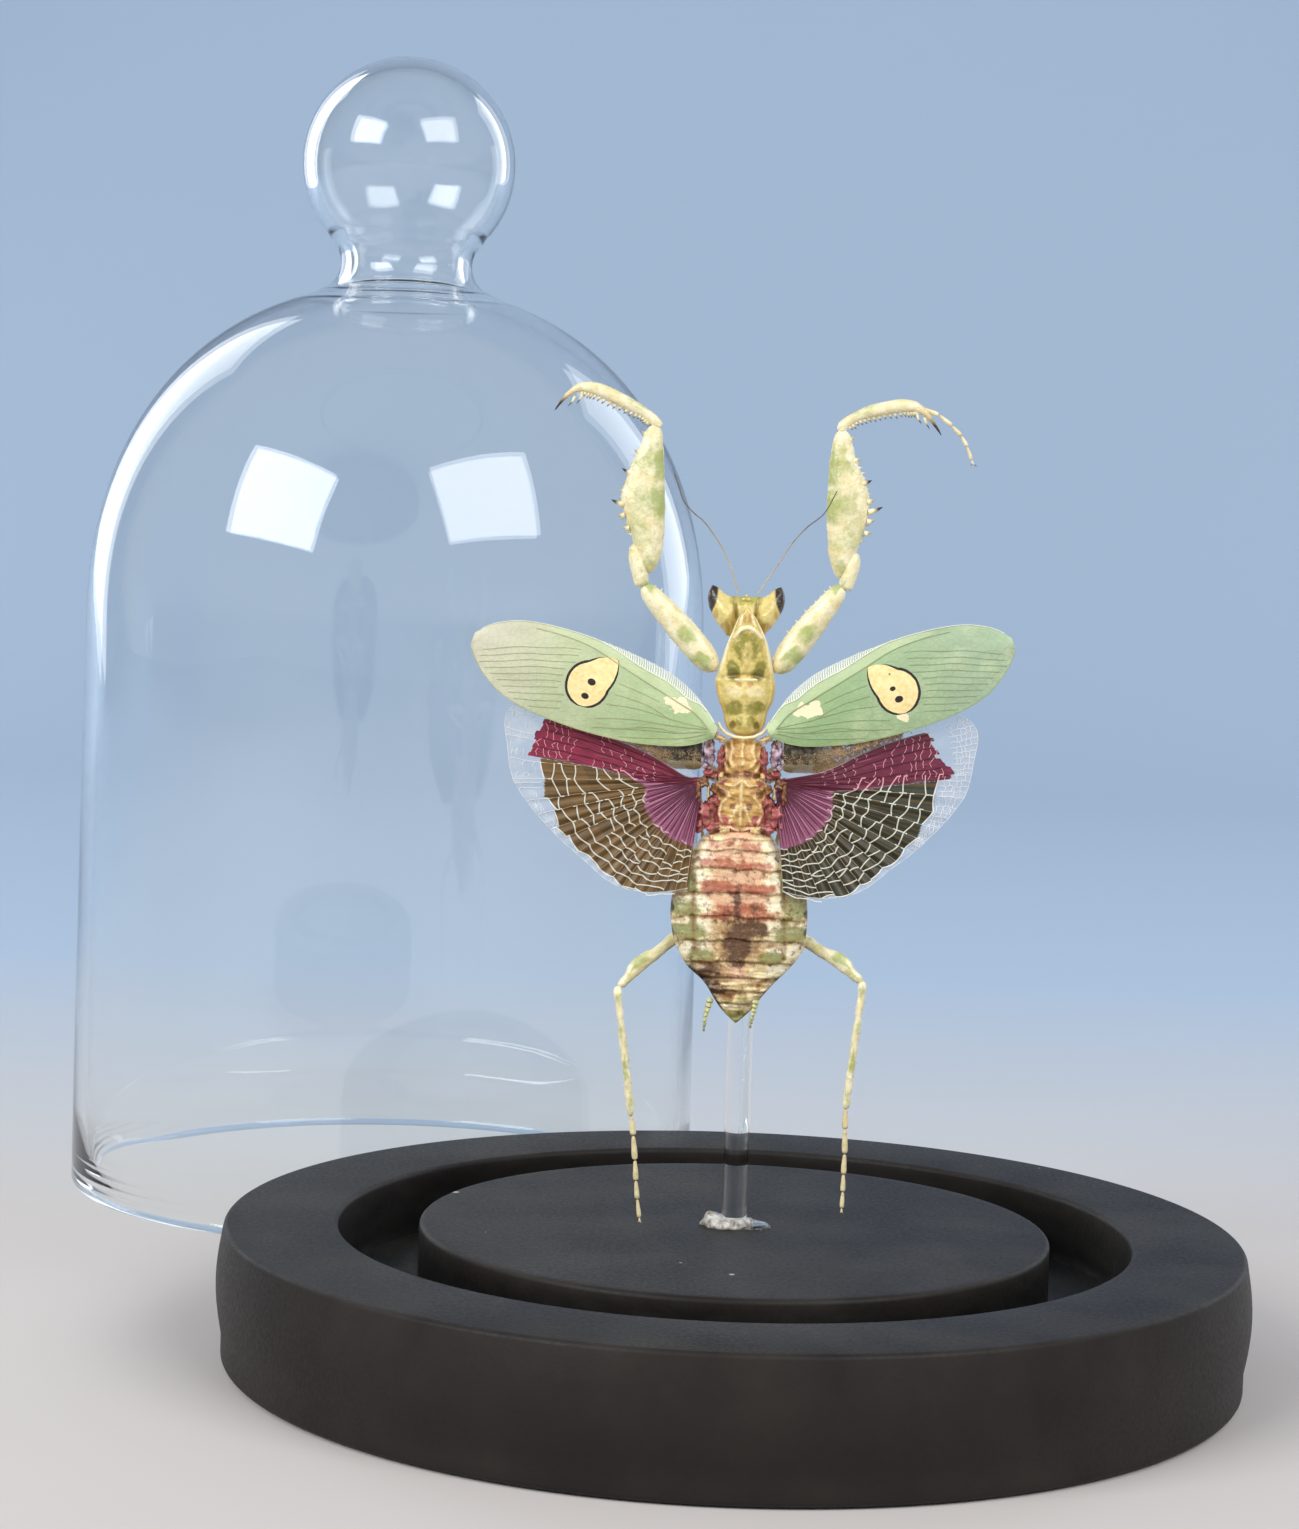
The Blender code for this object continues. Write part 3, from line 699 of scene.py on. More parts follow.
def make_ragged_group():
    """A mark's soft edge broken up by small clouds, as pigment in dried shell is."""
    tree, given, made = new_group("ragged_edge", {"Mask": 0.0, "Scale": 1500.0, "Rag": 0.5, "Soft": 0.12},
                                  {"Mask": "Float"})
    uneven = sum_of(tree, cloud(tree, given["Scale"], 5.0, roughness=0.7), 0.5, "SUBTRACT")
    drift = times(tree, uneven, given["Rag"])
    value = sum_of(tree, given["Mask"], drift)
    low = sum_of(tree, 0.5, given["Soft"], "SUBTRACT")
    tree.links.new(ramp(tree, value, low, sum_of(tree, 0.5, given["Soft"])), made["Mask"])
    return tree


def make_shell_group():
    """Dried shell: blotchy colour, fine pits and wrinkles."""
    tree, given, made = new_group("dried_shell", {"Colour": (1.0,) * 4, "Blotch": (1.0,) * 4, "Amount": 0.4,
                                                  "Scale": 900.0}, {"Colour": "Color", "Blotch": "Color",
                                                                     "Height": "Float"})
    blotch = ramp(tree, cloud(tree, given["Scale"], 5.0, roughness=0.65), 0.42, 0.72)
    share = times(tree, blotch, given["Amount"])
    tree.links.new(blend(tree, share, given["Colour"], given["Blotch"]), made["Colour"])
    tree.links.new(blend(tree, 0.35, given["Blotch"], (0.0, 0.0, 0.0, 1.0)), made["Blotch"])
    pits = put(tree, "TexVoronoi", {"Vector": place_of(tree), "Scale": 5200.0}, feature="SMOOTH_F1")
    wrinkle = cloud(tree, 2400.0, 5.0, roughness=0.6)
    tree.links.new(sum_of(tree, wrinkle, times(tree, pits.outputs["Distance"], 0.35)), made["Height"])
    return tree


ragged_group = make_ragged_group()
shell_group = make_shell_group()


def mark_of(tree, name):
    return put(tree, "Attribute", attribute_name=name).outputs["Fac"]


def net_lines(tree, scale, low, high):
    """The threads of a fine net: 1 on them and 0 in its cells, its scale in cells per metre."""
    wires = {"Vector": place_of(tree), "Scale": scale}
    cells = put(tree, "TexVoronoi", wires, feature="DISTANCE_TO_EDGE")
    return ramp(tree, cells.outputs["Distance"], low, high, 1.0, 0.0)


def ragged(tree, name, rag, soft):
    """A mark with its edge made uneven by rag and spread over soft."""
    return use_group(tree, ragged_group, Mask=mark_of(tree, name), Rag=rag, Soft=soft)["Mask"]


def shell_material(name, ground, blotch, amount, layers, roughness=0.4, relief=0.5, scale=900.0, soft=0.22):
    """Dried shell of a ground colour, with (mark, colour, share, raggedness) laid over it in turn."""
    material, tree, shader = new_material(name, Roughness=roughness, Coat_Roughness=0.25)
    shader.inputs["Coat Weight"].default_value = 0.3
    skin = use_group(tree, shell_group, Colour=paint(*ground), Blotch=paint(*blotch), Amount=amount,
                     Scale=scale)
    colour = skin["Colour"]
    for mark, chip, share, rag in layers:
        mask = times(tree, ragged(tree, mark, rag, soft), share)
        colour = blend(tree, mask, colour, paint(*chip))
    fleck = ramp(tree, cloud(tree, 4200.0, 3.0, roughness=0.7), 0.56, 0.74, 0.0, 0.5)
    colour = blend(tree, fleck, colour, skin["Blotch"])
    tree.links.new(colour, shader.inputs["Base Color"])
    tree.links.new(bump(tree, skin["Height"], relief, 0.00012), shader.inputs["Normal"])
    return material


def make_pronotum():
    def relief(x, z, share):
        side = abs(share)
        keel = near(x, 0.0, 0.12) * (step_up(z, 62.0, 62.6) * (1 - step_up(z, 66.4, 67.0)) * 0.14
                                     + step_up(z, 67.8, 68.4) * (1 - step_up(z, 69.6, 71.0)) * 0.16)
        margin = near(side, 0.95, 0.07) * 0.16 - near(side, 0.8, 0.08) * 0.08
        furrow = -near(z + 0.5 * share ** 2, FURROW + 0.2, 0.22) * 0.22 + near(z, FURROW - 0.25, 0.16) * 0.1
        arch = near(z + 0.5 * x * x, 72.0, 0.2) * 0.14 * (z > 71.0)
        discs = near(z, 70.0, 1.2) * near(x, 0.0, 1.1) * 0.22 + near(z, 65.7, 0.8) * near(x, 0.0, 1.5) * 0.18
        hollows = -near(abs(x), 1.1, 0.3) * near(z, 62.75, 0.4) * 0.3
        knobs = near(abs(x), 0.5, 0.35) * near(z, 62.9, 0.45) * 0.16
        ruts = -near(abs(x), 0.42, 0.12) * near(z, 68.9, 0.7) * 0.14
        return (keel + (margin + furrow * (1 - share ** 2)) * step_up(z, 61.6, 62.4)
                + arch + discs + hollows + knobs + ruts + 0.035 * noise.noise(Vector((x, z, 3.0)) * 2.6))

    def marks(x, z, share):
        side = abs(share)
        oval = spot(x, z, 0.0, 70.25, 1.4, 1.6) * (1 - 0.6 * spot(x, z, 0.05, 69.4, 0.5, 1.4))
        wedges = spot(abs(x), z, 1.2 + 0.25 * (z - 68.0), 67.95, 0.62, 0.95)
        return {
            "olive": max(oval * 0.8, wedges, 0.7 * spot(abs(x), z, 1.0, 64.4, 0.95, 0.8),
                         0.62 * spot(abs(x), z, 0.55, 63.2, 0.4, 0.6)),
            "deep": max(spot(abs(x), z, 1.3, 67.6, 0.55, 0.55), 0.9 * spot(abs(x), z, 1.1, 62.7, 0.32, 0.4)),
            "cream": max(0.8 * step_up(side, 0.8, 0.92) * step_up(z, 67.0, 69.0),
                         near(z + 0.5 * x * x, 72.0, 0.24) * (z > 71.0),
                         near(z, FURROW - 0.25, 0.13) * (abs(x) < 1.1),
                         near(abs(x), 0.2 * (74.0 - z) + 0.35, 0.14) * (z > 72.2),
                         0.55 * spot(abs(x), z, 1.0, 65.95, 0.95, 0.6)),
            "rust": max(spot(abs(x), z, 0.28, 73.0, 0.2, 0.5), spot(abs(x), z, 0.5, 66.6, 0.35, 0.35)) * 0.8,
            "gold": step_up(side, 0.82, 0.95) * (1 - step_up(z, 66.4, 67.4)) * 0.8,
        }

    shape = begin("olive", "deep", "cream", "rust", "gold", "shaded_fold")
    body(shape, 150, 96, PRONOTUM, relief, marks)
    rim = [insect("right", x, y, z) for x, z, y in PRONOTUM_RIM]
    add_threads(shape, [rim], 0.32, sides=10, cream=1.0)
    # Of these layers, the brown laid on the hollows is painted shade.
    layers = (("gold", (206, 164, 78), 0.7, 1.4), ("olive", (130, 126, 34), 0.9, 1.5),
              ("deep", (92, 88, 26), 0.75, 1.4), ("rust", (176, 108, 58), 0.6, 1.2),
              ("shaded_fold", (136, 96, 34), 0.55, 0.8), ("cream", (252, 240, 196), 0.85, 1.0))
    material = shell_material("pronotum_shell", (232, 212, 134), (188, 160, 66), 0.85, layers, 0.3, 0.5,
                              900.0, 0.28)
    finish("pronotum_plate", shape, [material], "pronotum_shell", "pronotum")


make_pronotum()


# ---------------------------------------------------------------- head
# The head seen from behind: two cone-shaped eyes drawn up to points, dark only along their outer faces,
# joined by a low crown with three small simple eyes. Dried shell, all one piece.
# From the middle out: offset, height, half height and half thickness.
HEAD_HALF = ((0.0, 73.3, 1.75, 1.15), (0.6, 73.25, 1.75, 1.2), (1.2, 73.15, 1.85, 1.15),
             (1.8, 73.1, 1.95, 1.2), (2.3, 73.55, 1.8, 1.25), (2.8, 74.0, 1.75, 1.15), (3.2, 74.4, 1.55, 1.0),
             (3.5, 74.7, 1.3, 0.85), (3.75, 74.75, 0.95, 0.6), (3.9, 74.8, 0.55, 0.3))
HEAD_DEPTH, HEAD_OFFSET, HEAD_NARROW = 1.0, -0.15, 0.955
SIMPLE_EYES = ((0.0, 75.1), (0.28, 74.75), (-0.28, 74.75))


def make_head():
    reach = HEAD_HALF[-1][0]

    def place(t, angle):
        across = -reach + 2 * reach * t
        _, z, tall, thick = between(HEAD_HALF, abs(across))
        up, dip = math.cos(angle), math.sin(angle)
        height = z + tall * up * blunt(t, 30)
        side = abs(across)
        lobe = near(side, 2.0, 0.8) * near(height, 73.0, 1.2) * 0.75
        crease = near(side, 0.95 + 0.15 * (height - 73.0), 0.22) * near(height, 73.4, 1.3) * 0.55
        depth = thick * dip * blunt(t, 30)
        raised = lobe - crease + 0.07 * noise.noise(Vector((across, height, 1.0)) * 2.4)
        if dip < 0:
            depth += raised * dip
        edge = 2.75 + (75.9 - height) * 0.24 + 0.1 * math.sin(height * 2.0)
        x, z = warp(side, height, 0.14)
        # The hollows' mark paints them darker, the lower they lie: painted shade.
        marks = {"eye": 0.5 + (side - edge) * 2.2, "green": spot(x, z, 0.7, 74.7, 1.0, 0.6) * 0.9,
                 "ochre": max(spot(x, z, 2.1, 71.9, 0.5, 0.8), spot(x, z, 1.2, 72.9, 0.3, 0.8),
                              spot(x, z, 3.0, 73.3, 0.3, 0.5)) * 0.9,
                 "shaded_fold": held(0.3 - raised * 2.0)}
        return insect("right", HEAD_OFFSET + across * HEAD_NARROW, HEAD_DEPTH + depth, height), marks

    shape = begin("eye", "green", "ochre", "shaded_fold")
    mould(shape, 140, 72, place)
    for x, z in SIMPLE_EYES:
        bead = bmesh.ops.create_icosphere(shape, subdivisions=2, radius=0.14 * MM)["verts"]
        bmesh.ops.translate(shape, verts=bead, vec=insect("right", HEAD_OFFSET + x, HEAD_DEPTH - 0.95, z))
    # Of these layers, the dark brown laid on the hollows is painted shade.
    layers = (("green", (168, 164, 68), 0.7, 1.4), ("ochre", (178, 142, 62), 0.6, 1.6),
              ("shaded_fold", (118, 96, 38), 0.5, 0.9), ("eye", (46, 34, 32), 1.0, 0.08))
    material = shell_material("head_shell", (232, 214, 140), (192, 172, 88), 0.85, layers, 0.26)
    finish("head_shell", shape, [material], "head_shell", "head")


make_head()


# ---------------------------------------------------------------- antennae
# Two fine threads of many short joints, pale at the root and dark towards the tip.
ANTENNAE = {
    "left": ((1.05, 75.2), (1.2, 76.1), (1.6, 77.4), (2.2, 78.8), (3.0, 80.2), (4.4, 82.0), (5.4, 82.8),
             (6.4, 83.9), (6.9, 85.2), (7.4, 86.5)),
    "right": ((0.9, 75.2), (1.6, 76.4), (2.6, 77.9), (4.1, 80.3), (5.4, 81.8), (7.0, 83.2), (8.1, 85.3)),
}
ANTENNA_LEAN = 0.25
ANTENNA_WIDTH = 0.15


def smooth_line(points, steps):
    """Points along the smooth curve through the given ones, evenly by number."""
    table = [(i, *point) for i, point in enumerate(points)]
    last = len(points) - 1
    return [Vector(between(table, last * i / steps)[1:]) for i in range(steps + 1)]


def make_antenna(side):
    lowest = ANTENNAE[side][0][1]
    route = [insect(side, x, HEAD_DEPTH - 0.5 - (z - lowest) * ANTENNA_LEAN, z) for x, z in ANTENNAE[side]]
    line = smooth_line(route, 90)
    shape = begin("tip")
    add_threads(shape, [line], ANTENNA_WIDTH, sides=8, taper=0.75)
    layer = shape.verts.layers.float["tip"]
    low, high = line[0].z, line[-1].z
    for dot in shape.verts:
        dot[layer] = (dot.co.z - low) / (high - low)
        joint = 0.75 + 0.25 * abs(math.sin((dot.co.z - low) / MM * 9.0))
        centre = min(line, key=lambda point: (point - dot.co).length_squared)
        dot.co = centre + (dot.co - centre) * joint
    material = shell_material(f"antenna_thread_{side}", (206, 190, 150), (150, 120, 84), 0.6,
                              (("tip", (70, 48, 36), 0.85, 0.5),), 0.6, 0.2)
    finish(f"antenna_{side}_thread", shape, [material], "antenna_thread", f"antenna_{side}")


for hand in ("left", "right"):
    make_antenna(hand)


# ---------------------------------------------------------------- thorax
# The middle and hind thorax, grown together: golden plates with raised cream ridges, crimson skin in the
# folds between them, and the dark hinge plates of the four wings at the sides.
THORAX = ((51.6, 0.0, 2.3, 0.0, 1.2), (52.6, 0.0, 2.7, 0.0, 1.5), (54.0, 0.0, 3.1, 0.0, 1.7),
          (55.2, 0.0, 2.9, 0.0, 1.75), (57.2, 0.0, 2.6, 0.0, 1.8), (58.6, 0.0, 2.3, 0.0, 1.65),
          (60.4, 0.0, 2.2, 0.1, 1.4), (61.6, 0.0, 1.7, 0.2, 1.0))
# Lines of (sideways, height) on one side, used on both.
THORAX_RIDGES = (
    ((0.0, 61.3), (0.0, 60.2), (0.0, 58.9)), ((1.15, 61.2), (1.0, 60.2), (1.25, 59.3), (0.9, 58.7)),
    ((1.75, 60.8), (1.6, 59.9), (1.75, 59.0), (1.4, 58.3)), ((0.3, 57.3), (0.7, 56.9), (1.5, 57.0)),
    ((0.0, 57.4), (0.0, 56.0), (0.0, 54.6), (0.0, 53.2)), ((0.25, 54.9), (0.7, 54.2), (1.1, 53.3)),
    ((1.6, 57.6), (2.3, 57.2), (2.6, 56.4), (2.2, 55.6)), ((2.9, 55.4), (3.1, 54.4), (2.7, 53.5)),
    ((1.2, 55.9), (1.9, 55.2), (2.1, 54.2), (1.7, 53.3)),
    ((0.2, 52.6), (1.0, 52.9), (1.9, 52.5), (2.3, 51.9)),
)
# Sideways, height and size.
THORAX_LUMPS = ((0.0, 58.0, 0.35), (0.75, 56.2, 0.4), (1.0, 57.9, 0.3), (2.9, 53.9, 0.42), (0.7, 53.4, 0.3),
                (1.5, 54.6, 0.3), (2.2, 58.4, 0.3), (0.55, 59.7, 0.32))
# Mark, sideways, height, half width, half height and how proud it stands.
THORAX_SIDES = (
    ("crimson", 3.3, 54.1, 1.0, 1.35, 0.55), ("crimson", 2.5, 52.9, 0.95, 0.7, 0.6),
    ("crimson", 2.6, 55.3, 0.55, 0.8, 0.7), ("crimson", 2.05, 59.2, 0.38, 1.35, 0.7),
    ("crimson", 3.0, 57.9, 0.7, 0.5, 0.5), ("crimson", 4.0, 53.0, 0.45, 0.8, 0.35),
    ("brown", 3.75, 57.15, 0.7, 0.55, 0.7), ("brown", 4.1, 55.9, 0.28, 1.35, 0.6),
    ("brown", 2.6, 56.5, 0.4, 0.5, 0.7), ("cream", 3.15, 56.2, 0.2, 0.65, 0.9),
    ("cream", 2.0, 57.7, 0.3, 0.4, 0.9), ("cream", 2.2, 61.4, 0.55, 0.4, 0.8),
    ("cream", 2.9, 62.0, 0.6, 0.3, 1.2), ("cream", 1.6, 52.7, 0.6, 0.45, 0.9),
    ("lilac", 3.25, 60.3, 0.7, 1.35, 0.7), ("lilac", 3.9, 59.8, 0.4, 0.9, 0.6),
    ("lilac", 3.4, 58.7, 0.5, 0.35, 0.5),
)


def ridge_height(x, z):
    """How near a point of the thorax is to the ridges' lines: 1 on one, 0 away from all."""
    best = 9.0
    for line in THORAX_RIDGES:
        for (x1, z1), (x2, z2) in zip(line, line[1:]):
            dx, dz = x2 - x1, z2 - z1
            t = min(1.0, max(0.0, ((x - x1) * dx + (z - z1) * dz) / (dx * dx + dz * dz)))
            best = min(best, math.hypot(x - x1 - t * dx, z - z1 - t * dz))
    return near(best, 0.0, 0.17)


def make_thorax():
    def relief(x, z, share):
        side = abs(x)
        lumps = sum(near(side, px, size) * near(z, pz, size) * size for px, pz, size in THORAX_LUMPS)
        waist = -0.35 * near(z, 57.9 + 0.25 * math.cos(side * 1.3), 0.28) - 0.3 * near(z, 52.2, 0.22)
        folds = 0.14 * noise.noise(Vector((x * 2.0, z * 2.2, 7.0)))
        folds += 0.1 * noise.noise(Vector((x, z, 2.0)) * 5.0)
        return 0.26 * ridge_height(side, z) + 0.55 * lumps + waist * (1 - 0.6 * near(side, 0.0, 0.3)) + folds

    def marks(x, z, share):
        side = abs(x)
        skin = max(step_up(side, 1.55, 2.1) * (58.2 < z < 61.2), spot(side, z, 2.55, 54.3, 0.65, 0.8),
                   near(z, 52.2, 0.3) * (side < 1.4), spot(side, z, 2.3, 58.1, 0.6, 0.45),
                   spot(side, z, 1.0, 52.9, 0.6, 0.4) * 0.8, spot(side, z, 1.7, 53.5, 0.7, 0.6) * 0.85,
                   spot(side, z, 0.0, 52.3, 1.6, 0.5) * 0.8, spot(side, z, 1.9, 57.3, 0.5, 0.5) * 0.7)
        return {"cream": ridge_height(side, z) * 0.82, "crimson": skin,
                "brown": max(near(z, 57.85, 0.25) * (side < 2), spot(side, z, 0.75, 54.95, 0.35, 0.4),
                             spot(side, z, 1.75, 56.2, 0.4, 0.5)) * 0.8}

    shape = begin("cream", "crimson", "brown", "lilac", "shaded_fold")
    body(shape, 130, 90, THORAX, relief, marks)
    for side in ("left", "right"):
        for kind, x, z, half_x, half_z, proud in THORAX_SIDES:
            def place(t, angle, kind=kind, x=x, z=z, half_x=half_x, half_z=half_z, proud=proud, side=side):
                ring, rise = math.sin(math.pi * t), math.cos(math.pi * t)
                spread = Vector((x + half_x * ring * math.cos(angle), z + half_z * rise, x * 3))
                crinkle = noise.noise(spread * 2.3) * 0.5 + noise.noise(spread * 5.5) * 0.28
                size = 1.0 + crinkle
                sideways = x + half_x * size * ring * math.cos(angle)
                depth = -0.9 + (0.3 + proud) * size * ring * math.sin(angle)
                # The lumps' sunken crinkles get the hollows' mark, painted shade.
                found = {"shaded_fold": 0.5 - crinkle * 1.6, kind: 0.85 + crinkle}
                return insect(side, sideways, depth, z + half_z * size * rise), found
            mould(shape, 24, 28, place)
    # Of these layers, the dark red-brown laid on the hollows is painted shade.
    layers = (("crimson", (170, 70, 88), 0.85, 1.4), ("brown", (104, 52, 36), 0.75, 1.5),
              ("lilac", (206, 184, 206), 0.9, 0.8), ("shaded_fold", (100, 46, 36), 0.7, 1.1),
              ("cream", (250, 226, 168), 0.75, 1.5))
    material = shell_material("thorax_shell", (214, 172, 98), (156, 98, 48), 0.9, layers, 0.26, 0.7)
    finish("thorax_plates", shape, [material], "thorax_shell", "thorax")


make_thorax()


# ---------------------------------------------------------------- abdomen
# Ten overlapping plates, grown as one. Each is cream with an orange-red band on its hind part and a green
# patch at each side; it dried brown down the middle and black along the lower left edge.
ABDOMEN = ((33.85, 0.2, 0.3, -0.3, 0.25), (35.0, 0.2, 1.35, -0.3, 0.6), (35.9, 0.2, 2.0, -0.3, 0.85),
           (37.8, 0.35, 3.4, -0.3, 1.2), (39.3, 0.25, 4.95, -0.3, 1.5), (41.1, 0.35, 6.1, -0.3, 1.7),
           (42.4, 0.25, 6.45, -0.3, 1.8), (45.0, 0.15, 6.6, -0.3, 1.9), (47.6, 0.1, 6.15, -0.3, 1.9),
           (49.5, -0.2, 4.9, -0.3, 1.85), (51.5, -0.2, 3.75, -0.3, 1.7), (52.6, 0.0, 3.1, -0.3, 1.4),
           (53.0, 0.0, 2.6, -0.3, 1.2))
SEAMS = (53.0, 51.7, 50.7, 48.9, 46.6, 44.3, 42.0, 39.9, 38.4, 37.0, 35.8, 33.8)
# Rows for bar_mark.
BANDS = ((51.25, 0.34, -3.0, -0.2, 0.9), (51.1, 0.36, 0.1, 2.5, 0.95), (49.45, 0.4, -3.5, -0.3, 1.0),
         (49.3, 0.42, -0.5, 3.2, 1.0), (47.15, 0.5, -3.8, 3.6, 1.05), (44.9, 0.8, -2.4, 2.8, 1.0),
         (44.4, 0.36, -3.9, 3.8, 0.9), (52.8, 0.4, -1.3, 1.2, 1.0))
FLUSH = ((50.2, 0.6, -2.4, 2.2, 1.0), (48.25, 0.7, -2.4, 2.4, 1.0), (46.2, 0.7, -3.1, 2.8, 1.0),
         (52.0, 0.6, -1.4, 1.4, 1.0), (38.9, 0.8, -1.4, 0.9, 0.9))
# Rows for oval_mark.
UMBER = ((0.0, 43.0, 2.9, 1.1, 1.0), (-0.1, 41.2, 2.4, 1.4, 1.0), (-2.7, 38.9, 1.9, 1.3, 1.0),
         (-1.4, 36.9, 1.2, 0.8, 1.0), (-4.3, 49.6, 1.0, 0.4, 0.9), (2.4, 37.9, 1.2, 0.4, 0.8),
         (2.3, 41.6, 1.6, 0.4, 0.9))
STAINS = ((0.9, 43.2, 2.0, 0.85, 1.1), (-0.1, 41.6, 1.35, 1.5, 1.1), (-0.1, 40.1, 0.8, 0.9, 1.0),
          (-0.2, 45.5, 0.4, 2.2, 0.85), (1.6, 45.0, 0.3, 0.9, 0.7), (-1.2, 44.2, 0.35, 1.0, 0.7),
          (-2.9, 38.7, 1.1, 0.9, 1.0), (-1.9, 37.2, 0.9, 0.7, 1.0))
GREENS = ((-5.4, 45.0, 1.6, 0.8, 1.2), (5.5, 45.2, 1.3, 1.0, 1.2), (-4.9, 42.7, 1.8, 0.9, 1.2),
          (5.0, 42.8, 1.7, 0.9, 1.1), (-3.6, 40.3, 1.4, 0.75, 1.1), (3.3, 40.4, 1.5, 0.6, 1.1),
          (-4.6, 47.4, 0.6, 1.2, 1.0), (-4.5, 44.0, 0.5, 0.9, 1.0), (4.6, 46.2, 0.55, 1.6, 1.0),
          (4.5, 43.9, 0.5, 0.8, 1.0), (4.2, 48.0, 0.4, 0.8, 0.9), (-0.9, 36.3, 0.5, 0.5, 1.0),
          (0.35, 36.4, 0.6, 0.5, 0.7), (0.0, 34.7, 1.2, 0.7, 0.9), (-4.1, 41.6, 0.8, 0.25, 0.6))
MARGINS = ((-6.6, 44.8, 0.35, 0.7, 1.0), (-6.5, 42.5, 0.35, 0.7, 0.9), (6.5, 42.7, 0.35, 0.6, 0.9),
           (6.5, 44.6, 0.3, 0.5, 0.8), (-6.2, 45.8, 0.8, 0.25, 0.5))


def down_plate(x, z):
    """How far down the plate that it is on a point of the abdomen lies, from 0 to 1."""
    z += 0.35 * (x / 6.0) ** 2 + 0.3 * noise.noise((x * 0.55, z * 0.3, 9.0))
    z = min(max(z, SEAMS[-1]), SEAMS[0])
    index = max(i for i in range(len(SEAMS) - 1) if SEAMS[i] >= z)
    return (SEAMS[index] - z) / (SEAMS[index] - SEAMS[index + 1])


def make_abdomen():
    def relief(x, z, share):
        down = down_plate(x, z)
        lap = 0.22 * down ** 1.3 * (1 - step_up(down, 0.9, 1.0)) - 0.08
        side = abs(x)
        shaded_fold = -0.3 * near(side, 4.35, 0.22) * step_up(z, 39.5, 41.0) * (1 - step_up(z, 47.2, 48.6))
        keel = 0.1 * near(x, 0.0, 0.16) - 0.06 * near(side, 0.5, 0.25)
        creases = 0.05 * noise.noise(Vector((x * 0.5, z * 3.4, 5.0)))
        creases += 0.07 * noise.noise(Vector((x, z, 2.0)) * 1.7)
        shrink = 1.0 + 2.5 * (1 - step_up(z, 37.5, 40.5))
        return lap + shaded_fold + keel + creases * shrink

    def marks(x, z, share):
        down = down_plate(x, z)
        edge = step_up(-share, 0.72, 0.95) * step_up(z, 34.6, 35.2) * (1 - step_up(z, 38.8, 40.6))
        return {"band": bar_mark(x, z, BANDS, 0.5), "flush": bar_mark(x, z, FLUSH, 0.7),
                "umber": oval_mark(x, z, UMBER), "stain": oval_mark(x, z, STAINS),
                "green": oval_mark(x, z, GREENS),
                "dark": max(edge, oval_mark(x, z, MARGINS), step_up(share, 0.85, 1.0) * (z < 37.2) * 0.8),
                "seam": max(1 - step_up(down, 0.0, 0.12), step_up(down, 0.72, 1.0)) * 0.7 * (z < 51.5),
                "pale": max(near(z, 35.6 + 0.12 * x * x, 0.14) * (abs(x) < 1.6),
                            near(down, 0.4, 0.4) * step_up(abs(x), 2.0, 3.2))}

    shape = begin("band", "flush", "umber", "stain", "green", "dark", "seam", "pale", "shaded_fold")
    body(shape, 210, 120, ABDOMEN, relief, marks, 20, 0.34)
    # Of these layers, the brown laid on the hollows is painted shade.
    layers = (("pale", (255, 250, 220), 0.85, 1.2), ("flush", (230, 170, 146), 0.66, 2.0),
              ("band", (176, 82, 58), 0.88, 2.1),
              ("green", (124, 132, 54), 0.82, 2.0), ("umber", (156, 110, 62), 0.75, 2.4),
              ("shaded_fold", (140, 84, 44), 0.6, 1.4), ("seam", (104, 58, 34), 0.5, 2.2),
              ("stain", (74, 40, 24), 0.86, 2.3), ("dark", (40, 26, 18), 0.9, 1.2))
    material = shell_material("abdomen_shell", (250, 232, 180), (214, 168, 98), 0.7, layers, 0.26, 0.8,
                              700.0, 0.4)
    finish("abdomen_plates", shape, [material], "abdomen_shell", "abdomen")


make_abdomen()


# ---------------------------------------------------------------- hindwings
# Each hindwing is one pleated film of wing membrane opened like a fan: a crimson bar along the front, a
# plum fan at the root, dark cells behind and a clear margin, over fine radial veins and a white net.
HINGE = {"left": (3.75, 57.35), "right": (3.25, 57.35)}
HIND_DEPTH = -1.3
MEMBRANE = 0.07
# The outline: turn in degrees and reach, and in HIND_TOP reach and the highest turn there.
HIND_REACH = ((-84.0, 10.5), (-75.0, 11.2), (-62.0, 12.4), (-50.0, 13.3), (-35.0, 13.9), (-20.0, 15.4),
              (-15.0, 16.1), (-8.0, 17.2), (-2.0, 18.2), (3.5, 18.7), (8.4, 19.1), (14.3, 19.8),
              (17.4, 19.8), (20.5, 19.2), (23.0, 17.9))
HIND_TOP = ((0.0, 28.0), (3.0, 37.0), (5.7, 35.0), (10.0, 28.5), (15.0, 25.5), (18.0, 23.5), (20.0, 22.5))
LOWEST = -84.0
FAN_REACH = ((-84.0, 6.4), (-50.0, 6.3), (-25.0, 6.1), (-8.0, 5.6), (0.0, 7.0), (20.0, 8.5))
DARK_REACH = ((-84.0, 10.5), (-69.0, 12.0), (-56.0, 12.7), (-42.0, 13.0), (-28.0, 13.9), (-18.0, 14.5),
              (-7.0, 15.2), (8.0, 15.6))
